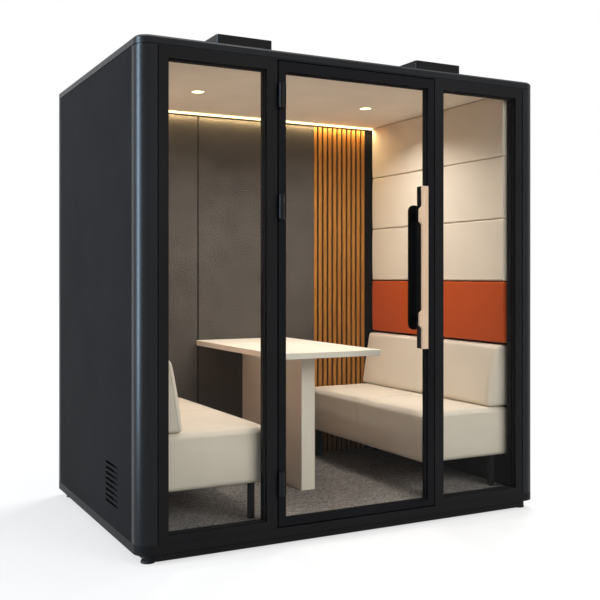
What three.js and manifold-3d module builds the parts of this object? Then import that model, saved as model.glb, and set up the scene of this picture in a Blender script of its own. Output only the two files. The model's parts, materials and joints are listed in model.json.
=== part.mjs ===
// A free-standing acoustic office pod: dark shell, glazed front with a hinged door, two benches and a table.
// Millimetres. +X runs along the front to the right, +Y runs into the pod and +Z is up.
// The origin is on the floor, under the middle of the whole object.
import * as THREE from "three";
import { mergeVertices } from "three/addons/utils/BufferGeometryUtils.js";
import Module from "manifold-3d";

const wasm = await Module();
wasm.setup();

// Shell
const POD_WIDTH = 2200;
const POD_DEPTH = 1500;
const FRONT_HEIGHT = 2145; // posts, panels and glazed frames, between the base and the roof cap
const CORNER_RADIUS = 65;
const POST_WIDTH = 90;
const POST_WALL = 8;
const SEAM = 3; // open line between neighbouring panels
const FIT_GAP = 0.3; // between pieces that touch

// Base and feet
const FOOT_HEIGHT = 12;
const FOOT_RADIUS = 32;
const FOOT_EDGE = 3; // bevel on the pad's upper edge
const FOOT_INSET = 66; // foot axis, in from the front and the sides of the pod
const FOOT_INSET_REAR = 100;
const STEM_RADIUS = 7;
const STEM_LENGTH = 25;
const SKIRT_HEIGHT = 32;
const SKIRT_INSET_SIDE = 45;
const SKIRT_INSET_FRONT = 12;
const SKIRT_INSET_REAR = 60;
const SKIRT_CORNER = 50;
const PLINTH_HEIGHT = 41;
const RAIL_MARGIN = 4; // base rail beyond the depth of the glazed frames
const LEDGE_WIDTH = 40; // shelf inside the base rails that carries the floor deck
const LEDGE_DROP = 24; // shelf below the top of the base
const DECK_RISE = 12; // floor deck above the top of the base
const CARPET_THICKNESS = 8;

// Outer panels and acoustic cores
const SHEET = 1.5;
const TRAY_DEPTH = 40;
const SIDE_CORE = 58;
const REAR_CORE = 48;
const VENT_COUNT = 8;
const VENT_PITCH = 25.5;
const VENT_LENGTH = 190;
const VENT_SLOT = 10;
const VENT_FRONT = 300; // from the front plane to the near end of the slots
const VENT_BOTTOM = 100; // above the top of the base

// Roof
const CAP_HEIGHT = 36;
const CAP_SHADOW = 5;
const CAP_SHADOW_INSET = 5;
const CAP_SHEET = 2;
const CAP_BEVEL = 9;
const CAP_BEVEL_STEPS = 1;
const CAP_LIP = 30;
const CEILING_DROP = 15; // ceiling below the top of the posts
const CEILING_THICKNESS = 25;
const CEILING_SLOT = 16; // air gap between the ceiling and the rear wall
const FAN_SIZE = 290;
const FAN_HEIGHT = 110;
const FAN_CORNER = 14;
const FAN_SHEET = 3;
const FAN_FRONT = 250; // from the front plane to the near side of each fan housing
const FAN_LEFT_X = -489;
const FAN_RIGHT_X = 646;
const FAN_MOUTH_RADIUS = 112;
const FAN_BAR = 9;
const FAN_BOSS_RADIUS = 32;
const DUCT_RADIUS = 90;
const SPINDLE_RADIUS = 5;
const SPINDLE_LENGTH = 60;
const ROTOR_RADIUS = 100;
const ROTOR_DROP = 12; // rotor below the housing's top sheet
const ROTOR_HUB_RADIUS = 34;
const ROTOR_HUB_HEIGHT = 40;
const ROTOR_BORE_GAP = 0.5;
const BLADE_COUNT = 7;
const BLADE_CHORD = 46;
const BLADE_THICKNESS = 3;
const BLADE_PITCH = Math.PI / 6;
const BLADE_ROOT = 6; // blade set into the hub

// Glazed front
const FRAME_DEPTH = 70;
const FRAME_WALL = 8;
const OUTER_JAMB = 46;
const INNER_JAMB = 54;
const WINDOW_TOP_RAIL = 52;
const WINDOW_BOTTOM_RAIL = 35;
const DOOR_OPENING = 880;
const DOOR_THICKNESS = 50;
const DOOR_STILE = 38;
const DOOR_TOP_RAIL = 48;
const DOOR_BOTTOM_RAIL = 30;
const DOOR_HINGE_GAP = 5.5;
const DOOR_LATCH_GAP = 4;
const DOOR_END_GAP = 6;
const GLASS_THICKNESS = 8;
const GLASS_EDGE = 6; // pane held in the frame's groove
const SEAL_THICKNESS = 4;
const SEAL_WIDTH = 10;
const STOP_WIDTH = 20;

// Hinges
const HINGE_HEIGHT = 112;
const HINGE_BARREL_RADIUS = 14;
const HINGE_PIN_RADIUS = 5;
const HINGE_PIN_GAP = 0.3;
const HINGE_SPLIT = 1; // gap between the two knuckles
const HINGE_STANDOFF = 15; // pin axis in front of the front plane
const HINGE_REACH = 12; // pin axis from the edge of the door opening
const HINGE_LEAF = 3; // frame leaf, in the gap beside the door
const HINGE_LEAF_DEPTH = 35;
const HINGE_PLATE = 8; // door leaf, on the front of the stile
const HINGE_PLATE_WIDTH = 28;
const HINGE_SIDE_GAP = 1.5; // door leaf clear of the lower knuckle
const HINGES = [
  ["top", 1978],
  ["middle", 1469],
  ["bottom", 205],
]; // name, and height of the hinge's middle above the top of the base

// Door pulls
const PULL_LENGTH = 800;
const PULL_MIDDLE = 1196; // above the top of the base
const PULL_X = 340; // middle of the grip, from the middle of the front
const PULL_WIDTH = 36;
const PULL_REACH = 60; // front of the grip before the front plane
const PULL_FACE = 14;
const PULL_BODY = 34;
const PULL_CORNER = 6;
const PULL_POST_SPACING = 510;
const PULL_POST_RADIUS = 13;
const PULL_BUMP = 16; // grip face widened at each post, with ends at 45 degrees
const PULL_BUMP_LENGTH = 92;
const PLATE_LENGTH = 618;
const PLATE_THICKNESS = 6;
const PLATE_REACH = 50; // back plate towards the glass, from the middle of the grip
const PLATE_CORNER = 30;
const STUD_RADIUS = 6;
const STUD_GAP = 0.5;
const STUD_BITE = 20; // stud inside the outer pull
const INNER_PULL_LENGTH = 560;
const INNER_PULL_STANDOFF = 30;
const INNER_PULL_SIZE = 20;

// Linings
const PAD_THICKNESS = 60;
const PAD_ROW = 334;
const PAD_ROWS = 3;
const PAD_SEAM_WIDTH = 10;
const PAD_SEAM_DEPTH = 7;
const PAD_GAP = 4;
const FELT_THICKNESS = 22;
const FELT_GROOVE_X = -285;
const FELT_GROOVE = 8;
const COVE_DROP = 20; // top of the rear lining below the ceiling
const SLAT_COUNT = 11;
const SLAT_PITCH = 35.6;
const SLAT_WIDTH = 23;
const SLAT_THICKNESS = 13;
const SLAT_BITE = 1; // slat set into its backing board
const SLATS_LEFT = 506; // from the middle of the pod to the first slat
const LED_SIZE = 11;
const DOWNLIGHT_X = 520;
const DOWNLIGHT_Y = 790; // from the front plane
const DOWNLIGHT_RADIUS = 40;
const DOWNLIGHT_BEZEL = 3;
const DOWNLIGHT_RIM = 5;

// Benches, heights above the carpet
const BENCH_FRONT = 85; // from the front plane
const SEAT_HEIGHT = 435;
const SEAT_BLOCK = 265;
const SEAT_DEPTH = 575;
const SEAT_SIDE = 42;
const SEAT_TOP = 115;
const SEAT_CORNER = 24;
const CARCASS_WALL = 18;
const LEG_SIZE = 26;
const LEG_INSET = 20; // from the carcass edge
const BACK_HEIGHT = 335;
const BACK_FOOT = 150; // thickness where it meets the seat
const BACK_HEAD = 92; // thickness at the top
const BACK_CORNER = 26;

// Table
const TABLE_WIDTH = 600;
const TABLE_LENGTH = 1113;
const TABLE_HEIGHT = 750; // above the carpet
const TABLE_THICKNESS = 30;
const TABLE_CORNER = 14;
const TABLE_LEG_WIDTH = 80;
const TABLE_LEG_LENGTH = 765;
const TABLE_LEG_REAR = 100; // from the rear edge of the top

// Roundness of arcs and of turned pieces
const ARC_STEPS = 5;
const TURNED_SIDES = 20;
const MERGE_DISTANCE = 1e-3;
const CUT_OVERRUN = 5; // cutting tools pass this far beyond what they cut

// Levels and planes that follow from the sizes above
const HALF_WIDTH = POD_WIDTH / 2;
const FRONT_Y = -(POD_DEPTH - PULL_REACH) / 2;
const SKIRT_TOP = FOOT_HEIGHT + SKIRT_HEIGHT;
const BASE_TOP = SKIRT_TOP + PLINTH_HEIGHT;
const FRONT_TOP = BASE_TOP + FRONT_HEIGHT;
const ROOF_TOP = FRONT_TOP + CAP_SHADOW + CAP_HEIGHT;
const CEILING = FRONT_TOP - CEILING_DROP;
const BASE_RAIL = FRAME_DEPTH + RAIL_MARGIN;
const DECK_TOP = BASE_TOP + DECK_RISE;
const CARPET_TOP = DECK_TOP + FIT_GAP + CARPET_THICKNESS;
const CABIN_FRONT = BASE_RAIL + FIT_GAP;
const CORE_OUTSIDE = HALF_WIDTH - TRAY_DEPTH - FIT_GAP;
const CORE_INSIDE = CORE_OUTSIDE - SIDE_CORE;
const REAR_CORE_BACK = POD_DEPTH - TRAY_DEPTH - FIT_GAP;
const REAR_CORE_FACE = REAR_CORE_BACK - REAR_CORE;
const LINING_BACK = REAR_CORE_FACE - FIT_GAP;
const LINING_FACE = LINING_BACK - FELT_THICKNESS;
const LINING_TOP = CEILING - COVE_DROP;
const LINING_SIDE = CORE_INSIDE - FIT_GAP;
const FRAME_OUTSIDE = HALF_WIDTH - POST_WIDTH - SEAM / 2;
const FRAME_INSIDE = DOOR_OPENING / 2;
const GLASS_FRONT = (DOOR_THICKNESS - GLASS_THICKNESS) / 2;
const GLASS_BACK = GLASS_FRONT + GLASS_THICKNESS;
const HINGE_X = -FRAME_INSIDE + HINGE_REACH;
const SEAT_LEVEL = CARPET_TOP + SEAT_HEIGHT;
const SEAT_UNDERSIDE = SEAT_LEVEL - SEAT_BLOCK;
const BACK_TOP = SEAT_LEVEL + FIT_GAP + BACK_HEIGHT;
const PADS_BOTTOM = CEILING - FIT_GAP - PAD_ROWS * PAD_ROW;
const PULL_POSTS = [-PULL_POST_SPACING / 2, PULL_POST_SPACING / 2];
const SIDES = [
  ["left", -1],
  ["right", 1],
];

// Materials
const finish = (color, roughness, metalness) =>
  new THREE.MeshStandardMaterial({ color, roughness, metalness });
const SHELL_PAINT = finish(0x2b2e32, 0.45, 0.4);
const FRAME_PAINT = finish(0x202226, 0.5, 0.4);
const BLACK_METAL = finish(0x151618, 0.45, 0.5);
const BLACK_PLASTIC = finish(0x121213, 0.8, 0);
const BLACK_BOARD = finish(0x1a1a1b, 0.7, 0);
const STEEL = finish(0x8a8d90, 0.35, 1);
const CORE_BOARD = finish(0x3a3a3c, 0.95, 0);
const CARPET_PILE = finish(0x67615e, 1, 0);
const PLYWOOD = finish(0xb89a72, 0.7, 0);
const CEILING_BOARD = finish(0xcfc3b4, 0.9, 0);
const FELT = finish(0x5e554d, 1, 0);
const OAK = finish(0xb07a3c, 0.6, 0);
const BEECH = finish(0xd6b998, 0.55, 0);
const CREAM_COVER = finish(0xdfd3c2, 0.6, 0);
const ORANGE_COVER = finish(0xb9552c, 0.6, 0);
const LAMINATE = finish(0xe9ddcf, 0.4, 0);
const RUBBER = finish(0x101010, 0.9, 0);
const LAMP = finish(0xfff0d8, 0.3, 0);
const GLASS = new THREE.MeshStandardMaterial({
  color: 0xdfe8e4,
  roughness: 0.05,
  metalness: 0,
  transparent: true,
  opacity: 0.2,
});

// Joining and cutting of closed geometry
function solidOf(geometry) {
  const bare = geometry.clone();
  bare.deleteAttribute("normal");
  bare.deleteAttribute("uv");
  const merged = mergeVertices(bare, MERGE_DISTANCE);
  const vertProperties = merged.attributes.position.array;
  const triVerts = new Uint32Array(merged.index.array);
  return new wasm.Manifold(new wasm.Mesh({ numProp: 3, vertProperties, triVerts }));
}

function geometryOf(solid) {
  const mesh = solid.getMesh();
  const geometry = new THREE.BufferGeometry();
  geometry.setAttribute("position", new THREE.BufferAttribute(mesh.vertProperties, 3));
  geometry.setIndex(new THREE.BufferAttribute(mesh.triVerts, 1));
  geometry.computeVertexNormals();
  return geometry;
}

function join(...geometries) {
  return geometryOf(geometries.map(solidOf).reduce((whole, next) => whole.add(next)));
}

function cut(body, ...tools) {
  return geometryOf(tools.map(solidOf).reduce((left, tool) => left.subtract(tool), solidOf(body)));
}

// Basic shapes, each given by its lowest and highest place along the axes
function block([x0, x1], [y0, y1], [z0, z1]) {
  const box = new THREE.BoxGeometry(x1 - x0, y1 - y0, z1 - z0);
  return box.translate((x0 + x1) / 2, (y0 + y1) / 2, (z0 + z1) / 2);
}

function roundedRectangle([x0, x1], [y0, y1], radius) {
  const shape = new THREE.Shape();
  shape.absarc(x1 - radius, y0 + radius, radius, -Math.PI / 2, 0);
  shape.absarc(x1 - radius, y1 - radius, radius, 0, Math.PI / 2);
  shape.absarc(x0 + radius, y1 - radius, radius, Math.PI / 2, Math.PI);
  shape.absarc(x0 + radius, y0 + radius, radius, Math.PI, 1.5 * Math.PI);
  return shape;
}

// A flat outline in X and Y, drawn upwards.
function prism(shape, [z0, z1]) {
  const options = { depth: z1 - z0, bevelEnabled: false, curveSegments: ARC_STEPS };
  return new THREE.ExtrudeGeometry(shape, options).translate(0, 0, z0);
}

// A flat outline in X and Z, drawn along Y.
function slab(shape, [y0, y1]) {
  return prism(shape, [-y1, -y0]).rotateX(Math.PI / 2);
}

function rod(radius, [z0, z1], x = 0, y = 0) {
  const cylinder = new THREE.CylinderGeometry(radius, radius, z1 - z0, TURNED_SIDES).rotateX(Math.PI / 2);
  return cylinder.translate(x, y, (z0 + z1) / 2);
}

// A round bar along Y.
function crossRod(radius, [y0, y1], x, z) {
  const cylinder = new THREE.CylinderGeometry(radius, radius, y1 - y0, TURNED_SIDES);
  return cylinder.translate(x, (y0 + y1) / 2, z);
}

// A profile of [radius, height] points turned about Z.
function turned(profile) {
  const points = profile.map(([radius, height]) => new THREE.Vector2(radius, height));
  return new THREE.LatheGeometry(points, TURNED_SIDES).rotateX(Math.PI / 2);
}

const grown = ([low, high], amount) => [low - amount, high + amount];
const onSide = (sign, near, far) => (sign > 0 ? [near, far] : [-far, -near]);

function piece(parent, name, geometry, material) {
  const mesh = new THREE.Mesh(geometry, material);
  mesh.name = name;
  parent.add(mesh);
}

function place(parent, x, y, z) {
  const group = new THREE.Group();
  group.position.set(x, y, z);
  parent.add(group);
  return group;
}

// Base ring: flush plinth band, shelf for the deck, and a recessed skirt with sockets for the feet.
function baseFrame() {
  const railInside = [-HALF_WIDTH + BASE_RAIL, HALF_WIDTH - BASE_RAIL];
  const railInsideY = [BASE_RAIL, POD_DEPTH - BASE_RAIL];
  const band = prism(
    roundedRectangle([-HALF_WIDTH, HALF_WIDTH], [0, POD_DEPTH], CORNER_RADIUS),
    [SKIRT_TOP, BASE_TOP],
  );
  const skirt = prism(
    roundedRectangle(
      [-HALF_WIDTH + SKIRT_INSET_SIDE, HALF_WIDTH - SKIRT_INSET_SIDE],
      [SKIRT_INSET_FRONT, POD_DEPTH - SKIRT_INSET_REAR],
      SKIRT_CORNER,
    ),
    [FOOT_HEIGHT, SKIRT_TOP],
  );
  const deckPocket = block(railInside, railInsideY, [BASE_TOP - LEDGE_DROP, BASE_TOP + CUT_OVERRUN]);
  const opening = block(
    grown(railInside, -LEDGE_WIDTH),
    grown(railInsideY, -LEDGE_WIDTH),
    [FOOT_HEIGHT - CUT_OVERRUN, BASE_TOP],
  );
  const sockets = footPlaces().map(([, x, y]) =>
    rod(STEM_RADIUS + FIT_GAP, [FOOT_HEIGHT - CUT_OVERRUN, FOOT_HEIGHT + STEM_LENGTH + FIT_GAP], x, y),
  );
  return cut(join(band, skirt), deckPocket, opening, ...sockets);
}

function footPlaces() {
  const x = HALF_WIDTH - FOOT_INSET;
  const rear = POD_DEPTH - FOOT_INSET_REAR;
  return [
    ["front_left", -x, FOOT_INSET],
    ["front_right", x, FOOT_INSET],
    ["rear_left", -x, rear],
    ["rear_right", x, rear],
  ];
}

function levellingFoot() {
  const seat = FOOT_HEIGHT - FIT_GAP;
  return turned([
    [0, 0],
    [FOOT_RADIUS, 0],
    [FOOT_RADIUS, seat - FOOT_EDGE],
    [FOOT_RADIUS - FOOT_EDGE, seat],
    [STEM_RADIUS, seat],
    [STEM_RADIUS, FOOT_HEIGHT + STEM_LENGTH],
    [0, FOOT_HEIGHT + STEM_LENGTH],
  ]);
}

function floorDeck() {
  const x = HALF_WIDTH - BASE_RAIL - FIT_GAP;
  const y = [CABIN_FRONT, POD_DEPTH - CABIN_FRONT];
  return block([-x, x], y, [BASE_TOP - LEDGE_DROP + FIT_GAP, DECK_TOP]);
}

// One corner post: an angle with a rounded outer corner. The signs point from the corner into the pod.
function cornerPost(signX, signY) {
  const leg = POST_WIDTH - SEAM / 2;
  const arc = (radius) =>
    Array.from({ length: 2 * ARC_STEPS + 1 }, (_, step) => {
      const angle = (Math.PI / 4 / ARC_STEPS) * step;
      return [CORNER_RADIUS - radius * Math.sin(angle), CORNER_RADIUS - radius * Math.cos(angle)];
    });
  const outline = [
    [leg, 0],
    ...arc(CORNER_RADIUS),
    [0, leg],
    [POST_WALL, leg],
    ...arc(CORNER_RADIUS - POST_WALL).reverse(),
    [leg, POST_WALL],
  ];
  const cornerX = -signX * HALF_WIDTH;
  const cornerY = signY > 0 ? 0 : POD_DEPTH;
  const points = outline.map(([u, v]) => new THREE.Vector2(cornerX + signX * u, cornerY + signY * v));
  return prism(new THREE.Shape(points), standing());
}

const standing = () => [BASE_TOP + FIT_GAP, FRONT_TOP - FIT_GAP];

function sidePanel(sign) {
  const y = [POST_WIDTH + SEAM / 2, POD_DEPTH - POST_WIDTH - SEAM / 2];
  const tray = block(onSide(sign, HALF_WIDTH - TRAY_DEPTH, HALF_WIDTH), y, standing());
  const hollow = block(
    onSide(sign, HALF_WIDTH - TRAY_DEPTH - CUT_OVERRUN, HALF_WIDTH - SHEET),
    grown(y, -SHEET),
    grown(standing(), -SHEET),
  );
  const slots = Array.from({ length: VENT_COUNT }, (_, row) => {
    const bottom = BASE_TOP + VENT_BOTTOM + row * VENT_PITCH;
    return block(
      onSide(sign, HALF_WIDTH - SHEET - CUT_OVERRUN, HALF_WIDTH + CUT_OVERRUN),
      [VENT_FRONT, VENT_FRONT + VENT_LENGTH],
      [bottom, bottom + VENT_SLOT],
    );
  });
  return cut(tray, hollow, ...slots);
}

function rearPanel() {
  const x = [-FRAME_OUTSIDE, FRAME_OUTSIDE];
  const tray = block(x, [POD_DEPTH - TRAY_DEPTH, POD_DEPTH], standing());
  const hollow = block(
    grown(x, -SHEET),
    [POD_DEPTH - TRAY_DEPTH - CUT_OVERRUN, POD_DEPTH - SHEET],
    grown(standing(), -SHEET),
  );
  return cut(tray, hollow);
}

const coreHeight = () => [DECK_TOP + FIT_GAP, CEILING - FIT_GAP];

function sideCore(sign) {
  return block(onSide(sign, CORE_INSIDE, CORE_OUTSIDE), [CABIN_FRONT, REAR_CORE_BACK], coreHeight());
}

function rearCore() {
  return block([-LINING_SIDE, LINING_SIDE], [REAR_CORE_FACE, REAR_CORE_BACK], coreHeight());
}

function ceilingPanel() {
  const panel = block(
    [-CORE_OUTSIDE, CORE_OUTSIDE],
    [CABIN_FRONT, LINING_BACK - CEILING_SLOT],
    [CEILING, CEILING + CEILING_THICKNESS],
  );
  const seam = block(
    [FELT_GROOVE_X - SEAM / 2, FELT_GROOVE_X + SEAM / 2],
    [0, POD_DEPTH],
    [CEILING - CUT_OVERRUN, CEILING + SEAM],
  );
  const holes = SIDES.map(([, sign]) =>
    rod(
      DOWNLIGHT_RADIUS - DOWNLIGHT_RIM + FIT_GAP,
      [CEILING - CUT_OVERRUN, CEILING + CEILING_THICKNESS + CUT_OVERRUN],
      sign * DOWNLIGHT_X,
      DOWNLIGHT_Y,
    ),
  );
  return cut(panel, seam, ...holes);
}

// Roof cap: a bevelled tray with a set-back lip that makes the shadow line and bears on the posts.
function roofCap() {
  const bottom = FRONT_TOP + CAP_SHADOW;
  const x = [-HALF_WIDTH, HALF_WIDTH];
  const y = [0, POD_DEPTH];
  const bevelled = new THREE.ExtrudeGeometry(roundedRectangle(x, y, CORNER_RADIUS), {
    depth: CAP_HEIGHT,
    bevelSize: CAP_BEVEL,
    bevelThickness: CAP_BEVEL,
    bevelOffset: -CAP_BEVEL,
    bevelSegments: CAP_BEVEL_STEPS,
    curveSegments: ARC_STEPS,
  }).translate(0, 0, bottom - CAP_BEVEL);
  const below = block(
    grown(x, CUT_OVERRUN),
    grown(y, CUT_OVERRUN),
    [bottom - 2 * CAP_BEVEL - CUT_OVERRUN, bottom],
  );
  const wall = CAP_BEVEL + CAP_SHEET;
  const hollow = prism(
    roundedRectangle(grown(x, -wall), grown(y, -wall), CORNER_RADIUS - wall),
    [bottom - CUT_OVERRUN, ROOF_TOP - CAP_SHEET],
  );
  const lip = prism(
    roundedRectangle(
      grown(x, -CAP_SHADOW_INSET),
      grown(y, -CAP_SHADOW_INSET),
      CORNER_RADIUS - CAP_SHADOW_INSET,
    ),
    [FRONT_TOP, bottom + CAP_SHEET],
  );
  const lipHole = block(
    grown(x, -CAP_LIP - CAP_SHADOW_INSET),
    grown(y, -CAP_LIP - CAP_SHADOW_INSET),
    [FRONT_TOP - CUT_OVERRUN, bottom + CAP_SHEET + CUT_OVERRUN],
  );
  const ducts = [FAN_LEFT_X, FAN_RIGHT_X].map((fanX) =>
    rod(
      DUCT_RADIUS,
      [ROOF_TOP - CAP_SHEET - CUT_OVERRUN, ROOF_TOP + CUT_OVERRUN],
      fanX,
      FAN_FRONT + FAN_SIZE / 2,
    ),
  );
  return cut(join(cut(bevelled, below, hollow), cut(lip, lipHole)), ...ducts);
}

// Fan housing on its own axis, with its foot at height 0: a box open below, a barred mouth and a spindle.
function fanHousing() {
  const half = [-FAN_SIZE / 2, FAN_SIZE / 2];
  const shell = prism(roundedRectangle(half, half, FAN_CORNER), [0, FAN_HEIGHT]);
  const inside = grown(half, -FAN_SHEET);
  const top = [FAN_HEIGHT - FAN_SHEET, FAN_HEIGHT];
  const hollow = prism(roundedRectangle(inside, inside, FAN_CORNER - FAN_SHEET), [-CUT_OVERRUN, top[0]]);
  const mouth = rod(FAN_MOUTH_RADIUS, grown(top, CUT_OVERRUN));
  const barReach = FAN_MOUTH_RADIUS + FAN_BAR;
  const bars = [0, 1].map((turn) =>
    block([-barReach, barReach], [-FAN_BAR / 2, FAN_BAR / 2], top).rotateZ((turn * Math.PI) / 2),
  );
  const boss = rod(FAN_BOSS_RADIUS, top);
  const spindle = rod(SPINDLE_RADIUS, [top[0] - SPINDLE_LENGTH, FAN_HEIGHT - FAN_SHEET / 2]);
  return join(cut(shell, hollow, mouth), ...bars, boss, spindle);
}

// Fan rotor on the same axis: a bored hub with pitched blades.
function fanRotor() {
  const top = FAN_HEIGHT - FAN_SHEET - ROTOR_DROP;
  const hub = rod(ROTOR_HUB_RADIUS, [top - ROTOR_HUB_HEIGHT, top]);
  const bladeStart = ROTOR_HUB_RADIUS - BLADE_ROOT;
  const blades = Array.from({ length: BLADE_COUNT }, (_, index) =>
    block(
      [0, ROTOR_RADIUS - bladeStart],
      [-BLADE_CHORD / 2, BLADE_CHORD / 2],
      [-BLADE_THICKNESS / 2, BLADE_THICKNESS / 2],
    )
      .rotateX(BLADE_PITCH)
      .translate(bladeStart, 0, top - ROTOR_HUB_HEIGHT / 2)
      .rotateZ((2 * Math.PI * index) / BLADE_COUNT),
  );
  const boreHeight = [top - ROTOR_HUB_HEIGHT - CUT_OVERRUN, top + CUT_OVERRUN];
  const bore = rod(SPINDLE_RADIUS + ROTOR_BORE_GAP, boreHeight);
  return cut(join(hub, ...blades), bore);
}

// A glazed frame is a rectangular ring with a groove for its pane.
function windowOpening(sign) {
  const low = sign > 0 ? INNER_JAMB : OUTER_JAMB;
  const high = sign > 0 ? OUTER_JAMB : INNER_JAMB;
  const [x0, x1] = onSide(sign, FRAME_INSIDE, FRAME_OUTSIDE);
  const [z0, z1] = standing();
  return { x: [x0 + low, x1 - high], z: [z0 + WINDOW_BOTTOM_RAIL, z1 - WINDOW_TOP_RAIL] };
}

function windowFrame(sign) {
  const x = onSide(sign, FRAME_INSIDE, FRAME_OUTSIDE);
  const opening = windowOpening(sign);
  const behind = [FRAME_WALL, FRAME_DEPTH + CUT_OVERRUN];
  const channel = cut(
    block(grown(x, -FRAME_WALL), behind, grown(standing(), -FRAME_WALL)),
    block(grown(opening.x, FRAME_WALL), grown(behind, CUT_OVERRUN), grown(opening.z, FRAME_WALL)),
  );
  return cut(
    block(x, [0, FRAME_DEPTH], standing()),
    block(opening.x, [-CUT_OVERRUN, FRAME_DEPTH + CUT_OVERRUN], opening.z),
    channel,
    pane(opening, FIT_GAP),
  );
}

// A pane set in the groove of its frame, or the groove itself where it is grown by a gap.
function pane(opening, gap = 0) {
  const edge = GLASS_EDGE + gap;
  return block(grown(opening.x, edge), grown([GLASS_FRONT, GLASS_BACK], gap), grown(opening.z, edge));
}

// The stop that the door closes on, fixed between the two window frames.
function doorSurround() {
  const x = [-FRAME_INSIDE + FIT_GAP, FRAME_INSIDE - FIT_GAP];
  const y = [DOOR_THICKNESS + SEAL_THICKNESS, FRAME_DEPTH];
  return cut(
    block(x, y, standing()),
    block(grown(x, -STOP_WIDTH), grown(y, CUT_OVERRUN), grown(standing(), -STOP_WIDTH)),
  );
}

function doorSeal() {
  const margin = (STOP_WIDTH - SEAL_WIDTH) / 2;
  const x = [-FRAME_INSIDE + FIT_GAP + margin, FRAME_INSIDE - FIT_GAP - margin];
  const y = [DOOR_THICKNESS + FIT_GAP, DOOR_THICKNESS + SEAL_THICKNESS - FIT_GAP];
  const z = grown(standing(), -margin);
  return cut(block(x, y, z), block(grown(x, -SEAL_WIDTH), grown(y, CUT_OVERRUN), grown(z, -SEAL_WIDTH)));
}

const doorLeaf = () => ({
  x: [-FRAME_INSIDE + DOOR_HINGE_GAP, FRAME_INSIDE - DOOR_LATCH_GAP],
  z: [BASE_TOP + DOOR_END_GAP, FRONT_TOP - DOOR_END_GAP],
});

function doorOpening() {
  const leaf = doorLeaf();
  return { x: grown(leaf.x, -DOOR_STILE), z: [leaf.z[0] + DOOR_BOTTOM_RAIL, leaf.z[1] - DOOR_TOP_RAIL] };
}

function doorFrame() {
  const leaf = doorLeaf();
  const opening = doorOpening();
  return cut(
    block(leaf.x, [0, DOOR_THICKNESS], leaf.z),
    block(opening.x, [-CUT_OVERRUN, DOOR_THICKNESS + CUT_OVERRUN], opening.z),
    pane(opening, FIT_GAP),
  );
}

function doorGlass() {
  const holes = PULL_POSTS.map((offset) =>
    crossRod(
      STUD_RADIUS + STUD_GAP,
      grown([GLASS_FRONT, GLASS_BACK], CUT_OVERRUN),
      PULL_X,
      pullHeight(offset),
    ),
  );
  return cut(pane(doorOpening()), ...holes);
}

// Hinge pieces, about the pin axis and the middle of the hinge's height
const hingeHalf = HINGE_HEIGHT / 2;
const lowerKnuckle = [-hingeHalf, -HINGE_SPLIT / 2];
const upperKnuckle = [HINGE_SPLIT / 2, hingeHalf];

const hingeBore = () => rod(HINGE_PIN_RADIUS + HINGE_PIN_GAP, grown([-hingeHalf, hingeHalf], -HINGE_LEAF));

function hingeFrameLeaf() {
  const leafX = -HINGE_REACH + FIT_GAP;
  const knuckle = rod(HINGE_BARREL_RADIUS, lowerKnuckle);
  const leaf = block([leafX, leafX + HINGE_LEAF], [0, HINGE_STANDOFF + HINGE_LEAF_DEPTH], lowerKnuckle);
  return cut(join(knuckle, leaf), hingeBore());
}

function hingeDoorLeaf() {
  const plateY = [HINGE_STANDOFF - FIT_GAP - HINGE_PLATE, HINGE_STANDOFF - FIT_GAP];
  const plate = block([0, HINGE_PLATE_WIDTH], plateY, upperKnuckle);
  const tail = block(
    [HINGE_BARREL_RADIUS + HINGE_SIDE_GAP, HINGE_PLATE_WIDTH],
    plateY,
    [-hingeHalf, HINGE_SPLIT],
  );
  return cut(join(rod(HINGE_BARREL_RADIUS, upperKnuckle), plate, tail), hingeBore());
}

const hingePin = () => rod(HINGE_PIN_RADIUS, grown([-hingeHalf, hingeHalf], -HINGE_LEAF - FIT_GAP));

// Door pulls
const pullHeight = (offset) => BASE_TOP + PULL_MIDDLE + offset;
const bodyFront = -PULL_REACH + PULL_FACE + FIT_GAP;
const bodyBack = bodyFront + PULL_BODY;

function outerPullBody() {
  const grip = slab(
    roundedRectangle(
      grown([PULL_X, PULL_X], PULL_WIDTH / 2),
      grown([pullHeight(0), pullHeight(0)], PULL_LENGTH / 2),
      PULL_CORNER,
    ),
    [bodyFront, bodyBack],
  );
  const plate = slab(
    roundedRectangle(
      [PULL_X - PLATE_REACH, PULL_X + PULL_WIDTH / 2],
      grown([pullHeight(0), pullHeight(0)], PLATE_LENGTH / 2),
      PLATE_CORNER,
    ),
    [GLASS_FRONT - FIT_GAP - PLATE_THICKNESS, GLASS_FRONT - FIT_GAP],
  );
  const posts = PULL_POSTS.map((offset) =>
    crossRod(
      PULL_POST_RADIUS,
      [bodyFront + PULL_BODY / 2, GLASS_FRONT - FIT_GAP],
      PULL_X,
      pullHeight(offset),
    ),
  );
  const sockets = PULL_POSTS.map((offset) =>
    crossRod(
      STUD_RADIUS + STUD_GAP,
      [GLASS_FRONT - STUD_BITE - FIT_GAP, GLASS_FRONT + CUT_OVERRUN],
      PULL_X,
      pullHeight(offset),
    ),
  );
  return cut(join(grip, plate, ...posts), ...sockets);
}

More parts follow.
